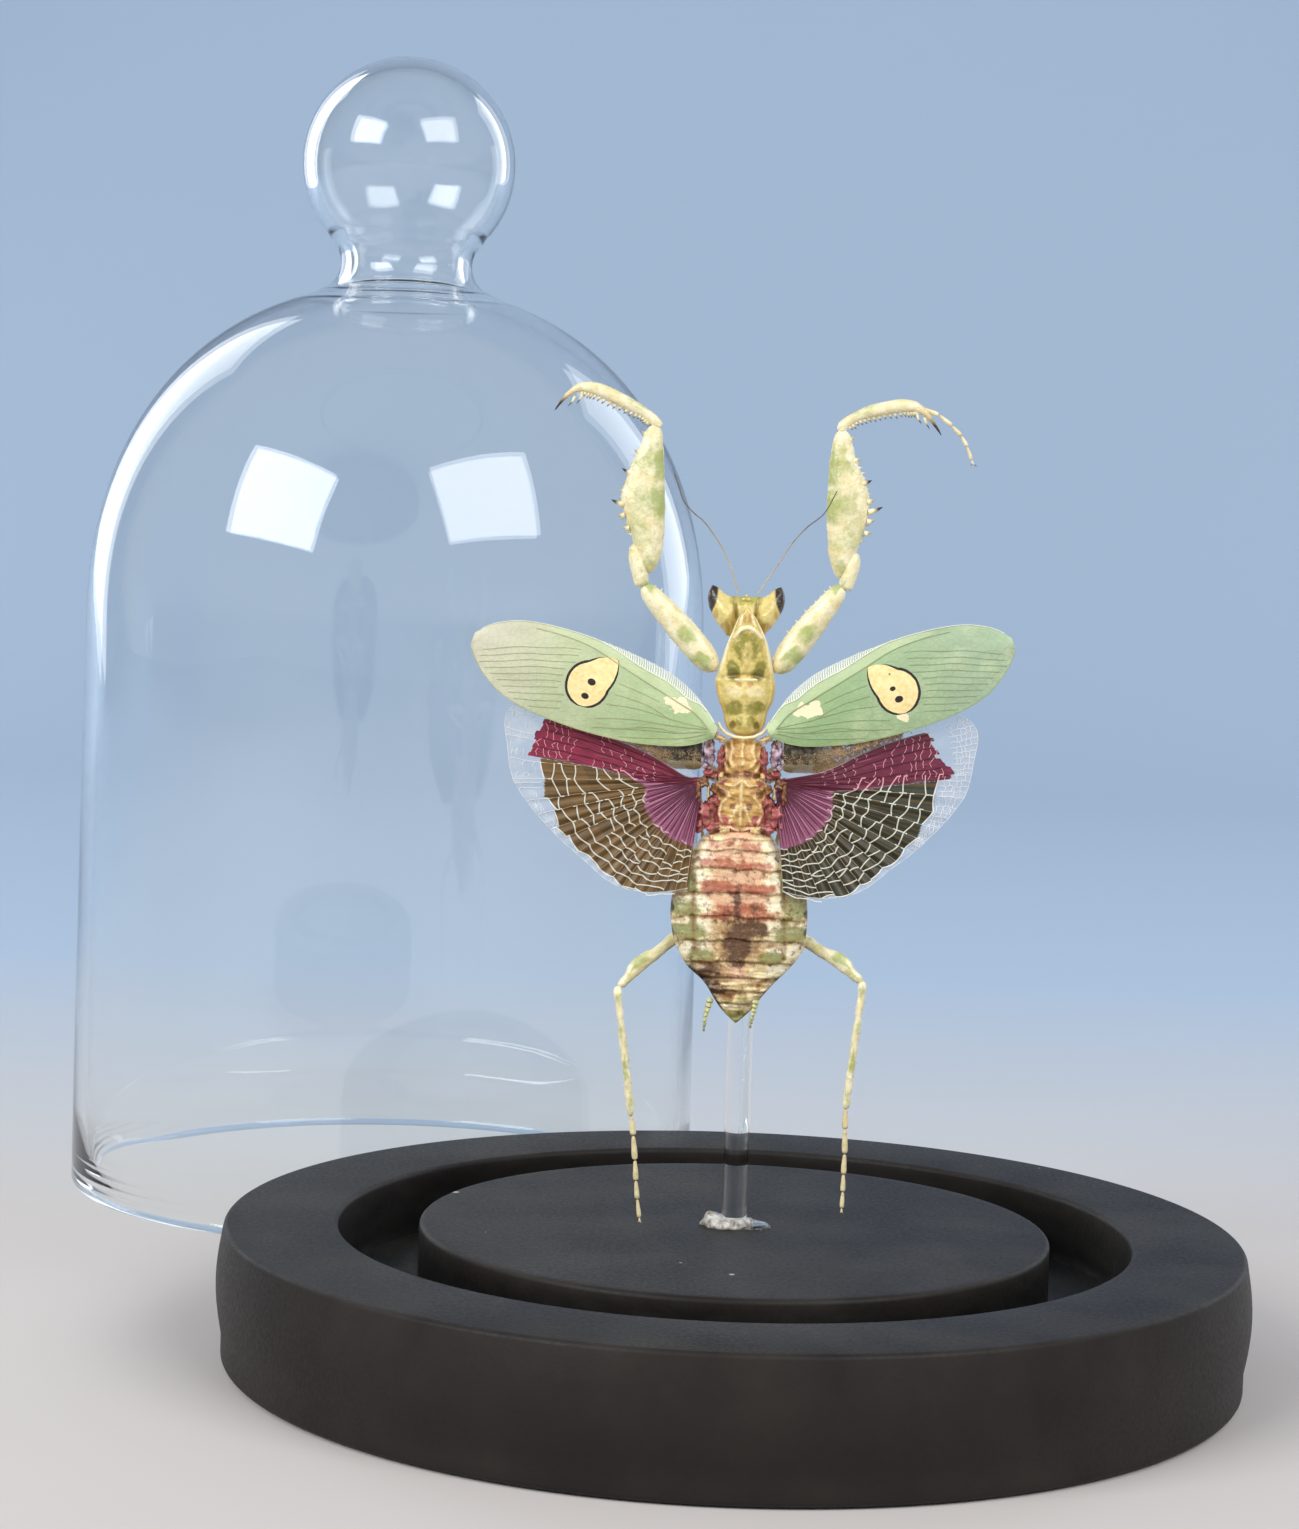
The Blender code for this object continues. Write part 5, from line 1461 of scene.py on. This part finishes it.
def make_forewing(side):
    shape = begin("out", "strip", "comb", "root_spot", "eyespot", "ring", "pupil", "lobe")

    def place(u, v):
        along = FOREWING_LENGTH * (1 - math.cos(math.pi * u)) / 2
        front, back = between(FOREWING_FRONT, along)[1], between(FOREWING_BACK, along)[1]
        across = back + (front - back) * v
        gap, turn = eyespot_at(side, along, across)
        corner = near(turn, 112.0, 26.0)
        cream = spot(*warp(along, across, 0.55, 2.0), *ROOT_SPOT[side], 1.3, 0.75)
        if side == "right":
            above = across - RIGHT_TAIL[1]
            cream = max(cream, spot(along + 0.4 * above, across, *RIGHT_TAIL, 0.5 + 0.5 * above, 0.55))
        comb = comb_height(along)
        pupil = max(0.5 + (size - math.hypot(along - x, (across - y) * 1.25)) * 3
                    for x, y, size in PUPILS[side])
        below = front - comb - across
        strip = 0.5 + min(below, 1.05 - 0.5 * step_up(along, 10, 20) - below) * 3
        return forewing_point(side, along, across), {
            "out": along, "strip": held(strip) * (1 - step_up(along, 16.0, 21.0)),
            "comb": held(0.5 - below * 5) if comb > 0.05 else 0.0,
            "root_spot": cream, "eyespot": gap, "pupil": held(pupil),
            "ring": 0.13 * (1 - corner) * (1 - 0.75 * near(turn, -95.0, 22.0)),
        }

    sheet(shape, 250, 88, MEMBRANE, place)

    def lay(lines, width, slot, taper=None):
        """Threads on the leaf, along smooth lines through lists of (along, across)."""
        for line in lines:
            flat = smooth_line([(x, y, 0.0) for x, y in line], 12 * (len(line) - 1))
            points = [forewing_point(side, p.x, p.y, 0.03) for p in flat]
            add_threads(shape, [points], width, slot, taper=taper)

    outer = []
    for i in range(10):
        start = 3.0 - 0.68 * i
        line = []
        for k in range(13):
            along = 15.2 + 0.75 * k
            across = start - 0.26 * (along - 15.2) - 0.012 * (along - 15.2) ** 2 + 0.05 * math.sin(k + i)
            inside = between(FOREWING_BACK, min(along, 25.4))[1] + 0.1 < across
            if inside and along < 25.0 and eyespot_at(side, along, across)[0] > 0.15:
                line.append((along, across))
        if len(line) > 2:
            outer.append(line)
    lay(outer, OUTER_VEIN, VEIN_SLOT)
    lay(INNER_VEINS, INNER_VEIN, VEIN_SLOT, 0.6)
    costal = [(a, between(FOREWING_FRONT, a)[1] - comb_height(a) - 1.05 + 0.5 * step_up(a, 10, 20))
              for a in (0.8, 2.5, 5.0, 8.0, 11.0, 14.0, 17.0, 20.0)]
    lay([costal], COSTAL_VEIN, VEIN_SLOT, 0.4)
    front = [(a / 4, between(FOREWING_FRONT, a / 4)[1] - comb_height(a / 4)) for a in range(2, 101)]
    lay([front], FRONT_EDGE, COMB_SLOT, 0.6)
    back = [(a / 4, between(FOREWING_BACK, a / 4)[1]) for a in range(3, 102)]
    lay([back], BACK_EDGE, VEIN_SLOT)
    chance = random.Random(side + "comb")
    teeth = []
    along = 1.6
    while along < 14.3:
        tall = comb_height(along)
        edge = between(FOREWING_FRONT, along)[1]
        teeth.append([forewing_point(side, along, edge - tall, 0.03),
                      forewing_point(side, along + 0.12, edge - tall * 0.4, 0.05),
                      forewing_point(side, along + 0.3, edge + chance.uniform(-0.06, 0.1), 0.05)])
        along += chance.uniform(0.22, 0.29)
    add_threads(shape, teeth, TOOTH_WIDTH, COMB_SLOT, taper=0.4)

    def hang(u, v):
        x = 2.6 + 13.8 * u
        foot = between(LOBE_FOOT, x)[1]
        tall = 2.6 - 1.2 * u
        z = foot + tall * v
        drop = 0.15 * noise.noise(Vector((x * 1.5, z * 1.5, 6.0)))
        mark = min(1.0, 0.45 + v * 2.5) * (1 - step_up(x, 13.4, 15.0)) * step_up(x, 3.7, 4.1)
        return insect(side, x, FOREWING_DEPTH + 0.35 + drop, z), {"out": x, "lobe": mark}

    sheet_start = len(shape.faces)
    sheet(shape, 90, 20, MEMBRANE, hang)
    shape.faces.ensure_lookup_table()
    for face in shape.faces[sheet_start:]:
        face.material_index = LOBE_SLOT
    hairs = []
    for _ in range(HAIRS):
        x = chance.uniform(4.0, 16.0)
        foot = between(LOBE_FOOT, x)[1]
        start = insect(side, x, FOREWING_DEPTH + 0.3, foot + chance.uniform(-0.1, 1.0))
        turn, size = chance.uniform(0, 2 * math.pi), chance.uniform(0.15, 0.35) * MM
        bend = Vector((math.cos(turn), 0.3, math.sin(turn))) * size
        side_step = Vector((-math.sin(turn), 0.0, math.cos(turn))) * size * chance.uniform(-0.4, 0.4)
        hairs.append([start, start + bend * 0.5 + side_step, start + bend])
    add_threads(shape, hairs, HAIR_WIDTH, HAIR_SLOT, sides=4)
    vein = make_mottled(f"forewing_vein_{side}", 0.5, 700.0, LEAF[side]["vein"], (166, 176, 118))
    comb = make_mottled(f"forewing_comb_{side}", 0.4, 900.0, (250, 250, 234), (230, 238, 208))
    hair = make_mottled(f"lobe_hair_{side}", 0.6, 900.0, (104, 74, 46), (206, 176, 130))
    finish(f"forewing_{side}_leaf", shape, [make_leaf_material(side), vein, comb, make_lobe_material(), hair],
           "forewing_membrane", f"forewing_{side}")


for hand in ("left", "right"):
    make_forewing(hand)


# ---------------------------------------------------------------- forelegs
# The grasping legs, held up and open: a thick hip joint, a broad thigh armed with thorns along its outer
# edge, and a saw-edged shin that ends in a long black claw. Cream shell with green patches.
FORE_COXA = {"left": ((2.8, 0.3, 67.8), (10.1, 0.6, 75.8)), "right": ((2.8, 0.3, 67.8), (9.0, 0.6, 76.3))}
# Rows of a limb's table: share of its length, half width inward and outward, half thickness.
COXA_TABLE = ((0.0, 0.7, 0.7, 0.7), (0.12, 1.15, 1.2, 1.0), (0.35, 1.35, 1.35, 1.05), (0.6, 1.25, 1.25, 1.0),
              (0.85, 0.95, 1.05, 0.9), (1.0, 0.75, 0.8, 0.7))
COXA_GREEN = {"left": ((0.13, 0.35, 0.09), (0.41, -0.1, 0.09), (0.97, -0.6, 0.07)),
              "right": ((0.2, 0.25, 0.1), (0.47, 0.1, 0.1), (0.97, -0.6, 0.07))}
TROCHANTER = {"left": ((10.2, 0.6, 75.6), (11.15, 0.5, 79.7)),
              "right": ((9.3, 0.6, 75.9), (10.15, 0.5, 79.6))}
TROCHANTER_TABLE = ((0.0, 0.65, 0.65, 0.6), (0.3, 0.8, 0.75, 0.75), (0.7, 0.75, 0.75, 0.7),
                    (1.0, 0.4, 0.4, 0.4))
FORE_FEMUR = {"left": ((9.6, 0.6, 76.9), (9.6, 0.4, 91.2)), "right": ((8.75, 0.6, 77.0), (8.5, 0.4, 91.3))}
FEMUR_TABLE = {
    "left": ((0.0, 0.5, 0.6, 0.5), (0.06, 0.85, 1.0, 0.75), (0.18, 1.25, 1.5, 0.95), (0.3, 1.35, 2.1, 1.0),
             (0.45, 1.35, 2.75, 1.0), (0.52, 1.33, 2.9, 1.0), (0.62, 1.25, 2.5, 0.92),
             (0.78, 1.1, 1.65, 0.82), (0.88, 1.0, 1.1, 0.72), (0.95, 0.95, 0.85, 0.65),
             (1.0, 0.75, 0.55, 0.5)),
    "right": ((0.0, 0.5, 0.6, 0.5), (0.06, 0.8, 1.05, 0.75), (0.18, 1.15, 1.55, 0.95), (0.3, 1.3, 2.15, 1.0),
              (0.42, 1.4, 2.55, 1.0), (0.52, 1.4, 2.65, 1.0), (0.64, 1.3, 2.3, 0.92), (0.78, 1.2, 1.4, 0.82),
              (0.88, 1.0, 1.05, 0.72), (0.95, 0.9, 0.85, 0.65), (1.0, 0.6, 0.55, 0.5)),
}
# Each thorn's root and tip, sideways and in height.
FEMUR_THORNS = {
    "left": ((10.7, 88.5, 11.4, 88.7), (11.4, 86.4, 12.5, 86.9), (12.0, 84.7, 12.7, 84.9),
             (12.1, 83.4, 13.45, 83.9), (12.1, 82.4, 12.8, 82.5), (11.6, 81.2, 12.3, 81.3),
             (10.2, 90.2, 10.7, 90.5)),
    "right": ((9.6, 88.3, 10.3, 88.6), (10.4, 86.1, 11.45, 86.5), (11.0, 84.4, 11.8, 84.7),
              (11.1, 83.4, 12.6, 84.0), (11.1, 82.5, 11.9, 82.8), (10.9, 81.4, 11.6, 81.6),
              (9.1, 90.2, 9.6, 90.6)),
}
# Rows for patches.
FEMUR_GREEN = ((0.77, 0.0, 0.11, 0.6), (0.75, -0.75, 0.13, 1.0), (0.5, -0.1, 0.1, 0.62),
               (0.48, -0.75, 0.11, 1.0), (0.3, 0.5, 0.14, 0.45), (0.2, -0.5, 0.1, 0.4),
               (0.06, 0.0, 0.06, 0.6))
# Along the shin: sideways, height and radius.
FORE_TIBIA = {
    "left": ((8.9, 90.9, 0.45), (9.6, 91.6, 0.5), (10.4, 92.2, 0.48), (11.6, 92.85, 0.6), (13.2, 93.6, 0.66),
             (14.8, 94.25, 0.66), (16.0, 94.5, 0.55), (17.1, 94.35, 0.36), (18.2, 93.5, 0.2),
             (19.15, 92.2, 0.06)),
    "right": ((8.3, 91.0, 0.45), (8.6, 91.7, 0.5), (9.6, 92.4, 0.48), (10.9, 92.95, 0.6), (12.4, 93.35, 0.66),
              (14.0, 93.65, 0.66), (15.2, 93.6, 0.55), (16.1, 93.2, 0.36), (16.9, 92.4, 0.2),
              (17.95, 90.95, 0.06)),
}
TIBIA_THORNS = {"left": ((16.5, 93.9, 17.1, 92.9), (17.2, 93.7, 17.9, 92.6)),
                "right": ((15.5, 92.9, 16.0, 92.0), (16.2, 92.7, 16.8, 91.5))}
DARK_THORNS, THORN_WIDTH = (1, 3), 0.36
SAW_TEETH, SAW_WIDTH = 17, 0.21
LIMB_END, TUBE_END = 14, 30
FORE_TARSUS = ((16.0, 0.4, 93.5), (17.6, 0.4, 92.9), (18.9, 0.4, 91.9), (19.8, 0.4, 91.0), (20.4, 0.4, 90.0),
               (20.9, 0.4, 88.7))


def square_to(axis):
    """The direction square to a limb's axis, in the plane that the wings are spread in."""
    return Vector((axis.z, 0.0, -axis.x)).normalized()


def limb(shape, side, start, end, table, rings, sides, marks, lump=0.06):
    """Mould a limb between two points (sideways, depth, height). Table: share, inner, outer, half deep."""
    root, axis = Vector(start), Vector(end) - Vector(start)
    out = square_to(axis)
    if out.x < 0:
        out = -out
    deep = out.cross(axis).normalized()
    if deep.y < 0:
        deep = -deep

    def place(t, angle):
        _, inner, outer, thick = between(table, t)
        share, dip = math.cos(angle), math.sin(angle)
        end_on = blunt(t, LIMB_END)
        across = (outer - inner) / 2 + (outer + inner) / 2 * share * end_on
        point = root + axis * t + out * across + deep * thick * dip * end_on
        point += noise.noise_vector(point * 1.3 + Vector((7.0, 0, 0))) * lump
        point += noise.noise_vector(point * 4.0) * lump * 0.35
        return insect(side, *point), marks(t, share, dip)

    mould(shape, rings, sides, place)


def tube(shape, side, route, rings, sides, marks, lump=0.03):
    """Mould a bent limb along a route of (sideways, depth, height, radius)."""
    table = [(i, *row) for i, row in enumerate(route)]
    last = len(route) - 1

    def place(t, angle):
        _, *here, radius = between(table, last * t)
        ahead = Vector(between(table, min(last, last * t + 0.05))[1:4])
        behind = Vector(between(table, max(0.0, last * t - 0.05))[1:4])
        along = (ahead - behind).normalized()
        out = square_to(along)
        deep = along.cross(out)
        end_on = blunt(t, TUBE_END)
        point = Vector(here) + (out * math.cos(angle) + deep * math.sin(angle)) * radius * end_on
        point += noise.noise_vector(point * 2.5) * lump
        return insect(side, *point), marks(t, math.cos(angle), math.sin(angle))

    mould(shape, rings, sides, place)


def thorn(shape, side, root, tip, width, dark=1.0, curve=0.0):
    """A small cone from root to tip, both (sideways, depth, height), its end dark."""
    foot, axis = Vector(root), Vector(tip) - Vector(root)
    out = square_to(axis)
    deep = axis.cross(out).normalized()

    def place(t, angle):
        wide = width * (1 - t) ** 0.75 * blunt(min(1.0, t + 0.02), 40)
        point = foot + axis * t + out * (wide * math.cos(angle) + curve * math.sin(math.pi * t))
        point += deep * wide * math.sin(angle)
        return insect(side, *point), {"tip": dark * step_up(t, 0.35, 0.75)}

    mould(shape, 8, 10, place)


def make_leg_material():
    layers = (("tan", (212, 184, 124), 0.8, 1.2), ("green", (146, 168, 78), 0.75, 1.9),
              ("tip", (38, 26, 22), 1.0, 0.1))
    return shell_material("leg_shell", (248, 240, 202), (224, 204, 134), 0.8, layers, 0.3, 0.7, 600.0, 0.45)


leg_material = make_leg_material()
LEG_MARKS = ("green", "tan", "tip")


def patches(spots):
    """A mark function for green patches at (share along, across, half length, strength)."""
    def marks(t, share, dip):
        value = 0.0
        stray = noise.noise_vector(Vector((t * 9.0, share * 1.5, 2.0)))
        t, share = t + stray.x * 0.05, share + stray.y * 0.6
        for place, across, half, *strength in spots:
            reach = math.hypot((t - place) / half, (share - across) / 0.5)
            value = max(value, (1 - step_up(reach, 0.5, 1.5)) * (strength[0] if strength else 1.0))
        return {"green": value if dip < 0.3 else value * 0.5}
    return marks


def finish_leg(name, side, shape):
    finish(f"{name}_{side}_shell", shape, [leg_material], "leg_shell", f"{name}_{side}")


def make_foreleg(side):
    chance = random.Random(side + "foreleg")
    shape = begin(*LEG_MARKS)
    start, end = FORE_COXA[side]
    limb(shape, side, start, end, COXA_TABLE, 60, 32, patches(COXA_GREEN[side]))
    axis = Vector(end) - Vector(start)
    out = -square_to(axis)
    for i in range(11):
        t = 0.3 + 0.062 * i
        inner = between(COXA_TABLE, t)[1]
        root = Vector(start) + axis * t + out * inner * 0.93 + Vector((0, -0.15, 0))
        tall = chance.uniform(0.1, 0.42) if i % 2 else chance.uniform(0.1, 0.2)
        thorn(shape, side, root, root + out * tall + axis * 0.01, 0.1, 0.0)
    finish_leg("fore_coxa", side, shape)

    shape = begin(*LEG_MARKS)
    start, end = TROCHANTER[side]
    limb(shape, side, start, end, TROCHANTER_TABLE, 30, 24, patches(((0.1, -0.5, 0.2, 0.6),)), 0.05)
    start, end = FORE_FEMUR[side]
    limb(shape, side, start, end, FEMUR_TABLE[side], 90, 44, patches(FEMUR_GREEN), 0.08)
    for i, (x1, z1, x2, z2) in enumerate(FEMUR_THORNS[side]):
        dark = 1.0 if i in DARK_THORNS else 0.5
        thorn(shape, side, (x1, 0.3, z1), (x2, 0.1, z2), THORN_WIDTH, dark, 0.06)
    for i in range(16):
        z = 80.6 + 0.5 * i
        share = (z - start[2]) / (end[2] - start[2])
        outer = between(FEMUR_TABLE[side], share)[2]
        x = start[0] + (end[0] - start[0]) * share + outer * 0.9
        thorn(shape, side, (x, 0.4, z), (x + chance.uniform(0.35, 0.62), 0.4, z + 0.12), 0.14, 0.4)
    finish_leg("fore_femur", side, shape)

    shape = begin(*LEG_MARKS)
    route = [(x, 0.4, z, radius) for x, z, radius in FORE_TIBIA[side]]

    def marks(t, share, dip):
        return {"green": spot(t, share, 0.3, -0.5, 0.08, 0.8) * 0.5, "tip": step_up(t, 0.84, 0.95),
                "tan": step_up(t, 0.66, 0.86) * 0.8}

    tube(shape, side, route, 90, 24, marks)
    table = [(i, *row) for i, row in enumerate(route)]
    for i in range(SAW_TEETH):
        along = 1.2 + 5.3 * i / (SAW_TEETH - 1)
        _, x, y, z, radius = between(table, along)
        ahead = Vector(between(table, along + 0.1)[1:4]) - Vector((x, y, z))
        down = square_to(ahead)
        root = Vector((x, y - 0.1, z)) + down * radius * 0.8
        tip = root + down * chance.uniform(0.5, 0.68) + ahead.normalized() * 0.2
        thorn(shape, side, root, tip, SAW_WIDTH, 0.8)
    for x1, z1, x2, z2 in TIBIA_THORNS[side]:
        thorn(shape, side, (x1, 0.3, z1), (x2, 0.25, z2), 0.16, 1.0, 0.08)
    finish_leg("fore_tibia", side, shape)


def add_foot(shape, side, route, widths, claws=True, green=0.0):
    """The jointed foot: short segments, each widest at its far end, and two hooked claws."""
    for i, (start, end) in enumerate(zip(route, route[1:])):
        wide = widths[0] + (widths[1] - widths[0]) * i / (len(route) - 2)
        table = ((0.0, wide * 0.6, wide * 0.6, wide * 0.6), (0.7, wide, wide, wide * 0.9),
                 (1.0, wide * 0.9, wide * 0.9, wide * 0.8))
        tip = green * step_up(i / (len(route) - 2), 0.55, 1.0)

        def marks(t, share, dip, tip=tip):
            return {"tan": 0.4 + 0.6 * near(t, 0.0, 0.2), "green": green, "tip": 0.7 * tip}

        limb(shape, side, start, end, table, 16, 14, marks, 0.02)
    if claws:
        last = Vector(route[-1])
        along = (last - Vector(route[-2])).normalized()
        for sign in (-1, 1):
            aside = Vector((0.35 * sign, -0.1, 0.0))
            thorn(shape, side, last, last + along * 0.6 + aside, 0.1, 1.0, 0.12 * sign)


for hand in ("left", "right"):
    make_foreleg(hand)
foot_shape = begin(*LEG_MARKS)
add_foot(foot_shape, "right", FORE_TARSUS, (0.24, 0.17))
finish_leg("fore_tarsus", "right", foot_shape)


# ---------------------------------------------------------------- middle and hind legs, cerci
# The walking legs: thin, with a green lobe under each hind thigh and jointed feet that hang clear of the
# disc. The middle pair lies folded behind the wings. Two short jointed feelers flank the abdomen's tip.
WALKING = {
    "left": {
        "hind_femur": ((1.8, 2.45, 45.5), (11.3, 0.6, 36.8)),
        "hind_tibia": ((11.4, 0.5, 36.9), (9.6, 0.0, 24.2)),
        "hind_tarsus": ((9.6, 0.0, 24.3), (9.35, 0.0, 22.4), (9.1, -0.05, 20.0), (8.95, -0.1, 18.0),
                        (8.75, -0.15, 16.2), (8.5, -0.2, 14.4)),
        "cercus": ((2.3, -0.4, 36.2), (2.7, -0.8, 34.6), (2.85, -0.95, 33.0)),
    },
    "right": {
        "hind_femur": ((2.1, 2.45, 44.8), (12.3, 0.6, 38.2)),
        "hind_tibia": ((12.4, 0.5, 38.3), (11.1, 0.0, 25.7)),
        "hind_tarsus": ((11.1, 0.0, 25.8), (11.15, 0.0, 23.8), (11.2, -0.05, 21.4), (11.15, -0.1, 19.4),
                        (11.15, -0.15, 17.7), (11.1, -0.2, 16.1)),
        "cercus": ((2.1, -1.9, 36.4), (1.85, -1.8, 35.0), (1.6, -1.7, 33.6)),
    },
}
MIDDLE = {"mid_coxa": ((2.0, 2.5, 57.0), (3.5, 2.9, 58.4)),
          "mid_femur": ((3.8, 2.9, 58.5), (12.0, 3.0, 58.9)),
          "mid_tibia": ((11.9, 4.0, 58.4), (4.3, 4.1, 55.9)),
          "mid_tarsus": ((4.1, 4.1, 55.7), (3.95, 4.05, 54.0), (3.7, 4.0, 52.0), (3.5, 3.9, 50.3),
                         (3.2, 3.8, 48.5))}
HIND_COXA = ((1.7, 2.45, 52.2), (1.9, 2.45, 46.0))
SMALL_COXA = ((0.0, 0.5, 0.5, 0.45), (0.5, 0.68, 0.68, 0.55), (1.0, 0.5, 0.5, 0.45))
THIGH = ((0.0, 0.5, 0.5, 0.45), (0.3, 0.62, 0.66, 0.55), (0.6, 0.5, 0.62, 0.5), (0.72, 0.42, 1.0, 0.45),
         (0.82, 0.42, 1.02, 0.42), (0.9, 0.45, 0.55, 0.42), (0.97, 0.52, 0.5, 0.45), (1.0, 0.4, 0.4, 0.4))
PLAIN_THIGH = ((0.0, 0.45, 0.45, 0.4), (0.3, 0.6, 0.6, 0.5), (0.8, 0.45, 0.45, 0.4), (1.0, 0.4, 0.4, 0.35))
SHIN = ((0.0, 0.45, 0.45, 0.42), (0.05, 0.5, 0.5, 0.45), (0.12, 0.34, 0.36, 0.34), (0.5, 0.36, 0.36, 0.34),
        (0.9, 0.36, 0.38, 0.34), (0.96, 0.42, 0.44, 0.38), (1.0, 0.32, 0.32, 0.3))


def make_walking_legs(side):
    chance = random.Random(side + "walking")
    bits = WALKING[side]

    def piece(name, start, end, table, marks, rings=40, sides=20, lump=0.05, spines=0):
        shape = begin(*LEG_MARKS)
        limb(shape, side, start, end, table, rings, sides, marks, lump)
        axis = Vector(end) - Vector(start)
        out = square_to(axis)
        for i in range(spines):
            t = 0.15 + 0.75 * i / max(1, spines - 1)
            sign = chance.choice((-1, 1))
            root = Vector(start) + axis * t + out * sign * 0.3
            thorn(shape, side, root, root + out * sign * 0.18 + axis * 0.02, 0.07, 0.4)
        finish_leg(name, side, shape)

    pale = patches(((0.45, 0.0, 0.1, 0.4),))
    piece("mid_coxa", *MIDDLE["mid_coxa"], SMALL_COXA, pale, 24)
    piece("mid_femur", *MIDDLE["mid_femur"], PLAIN_THIGH, pale)
    piece("mid_tibia", *MIDDLE["mid_tibia"], SHIN, pale)
    piece("hind_coxa", *HIND_COXA, SMALL_COXA, pale, 24)
    lobe_green = patches(((0.77, 0.3, 0.1, 1.0), (0.9, -0.1, 0.06, 0.45), (0.5, 0.3, 0.12, 0.45)))
    piece("hind_femur", *bits["hind_femur"], THIGH, lobe_green, 70, 26, 0.06)
    shin_green = patches(((0.1, 0.0, 0.05, 0.6), (0.36, 0.3, 0.06, 0.7), (0.62, 0.0, 0.08, 0.9),
                          (0.9, 0.0, 0.06, 0.6)))
    piece("hind_tibia", *bits["hind_tibia"], SHIN, shin_green, 70, 18, 0.09, 14)
    for name, route, widths in (("mid_tarsus", MIDDLE["mid_tarsus"], (0.3, 0.22)),
                                ("hind_tarsus", bits["hind_tarsus"], (0.32, 0.22)),
                                ("cercus", bits["cercus"], (0.36, 0.12))):
        shape = begin(*LEG_MARKS)
        if name == "cercus":
            line = smooth_line(route, 7)
            add_foot(shape, side, [tuple(point) for point in line], widths, False, 0.8)
            for i in range(12):
                point = line[1 + i % 6]
                aim = Vector((chance.uniform(-1, 1), -0.2, chance.uniform(-0.6, 0.1))).normalized()
                thorn(shape, side, point, point + aim * 0.42, 0.04, 0.8)
        else:
            add_foot(shape, side, route, widths)
        finish_leg(name, side, shape)


for hand in ("left", "right"):
    make_walking_legs(hand)


# ---------------------------------------------------------------- glue bead behind the insect
# A blob of set clear glue between the rod and the underside of the thorax, squeezed out at its edges.
def make_top_bead():
    low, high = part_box("glue_top")
    middle, half = (low + high) / 2, (high - low) / 2
    shape = bmesh.new()
    for dot in bmesh.ops.create_icosphere(shape, subdivisions=4, radius=1.0)["verts"]:
        lump = 1.0 + 0.12 * noise.noise(dot.co * 2.2)
        dot.co = middle + Vector((dot.co.x * half.x, dot.co.y * half.y, dot.co.z * half.z)) * lump
    finish("glue_bead_top", shape, [set_glue], "clear_glue", "glue_top")


make_top_bead()
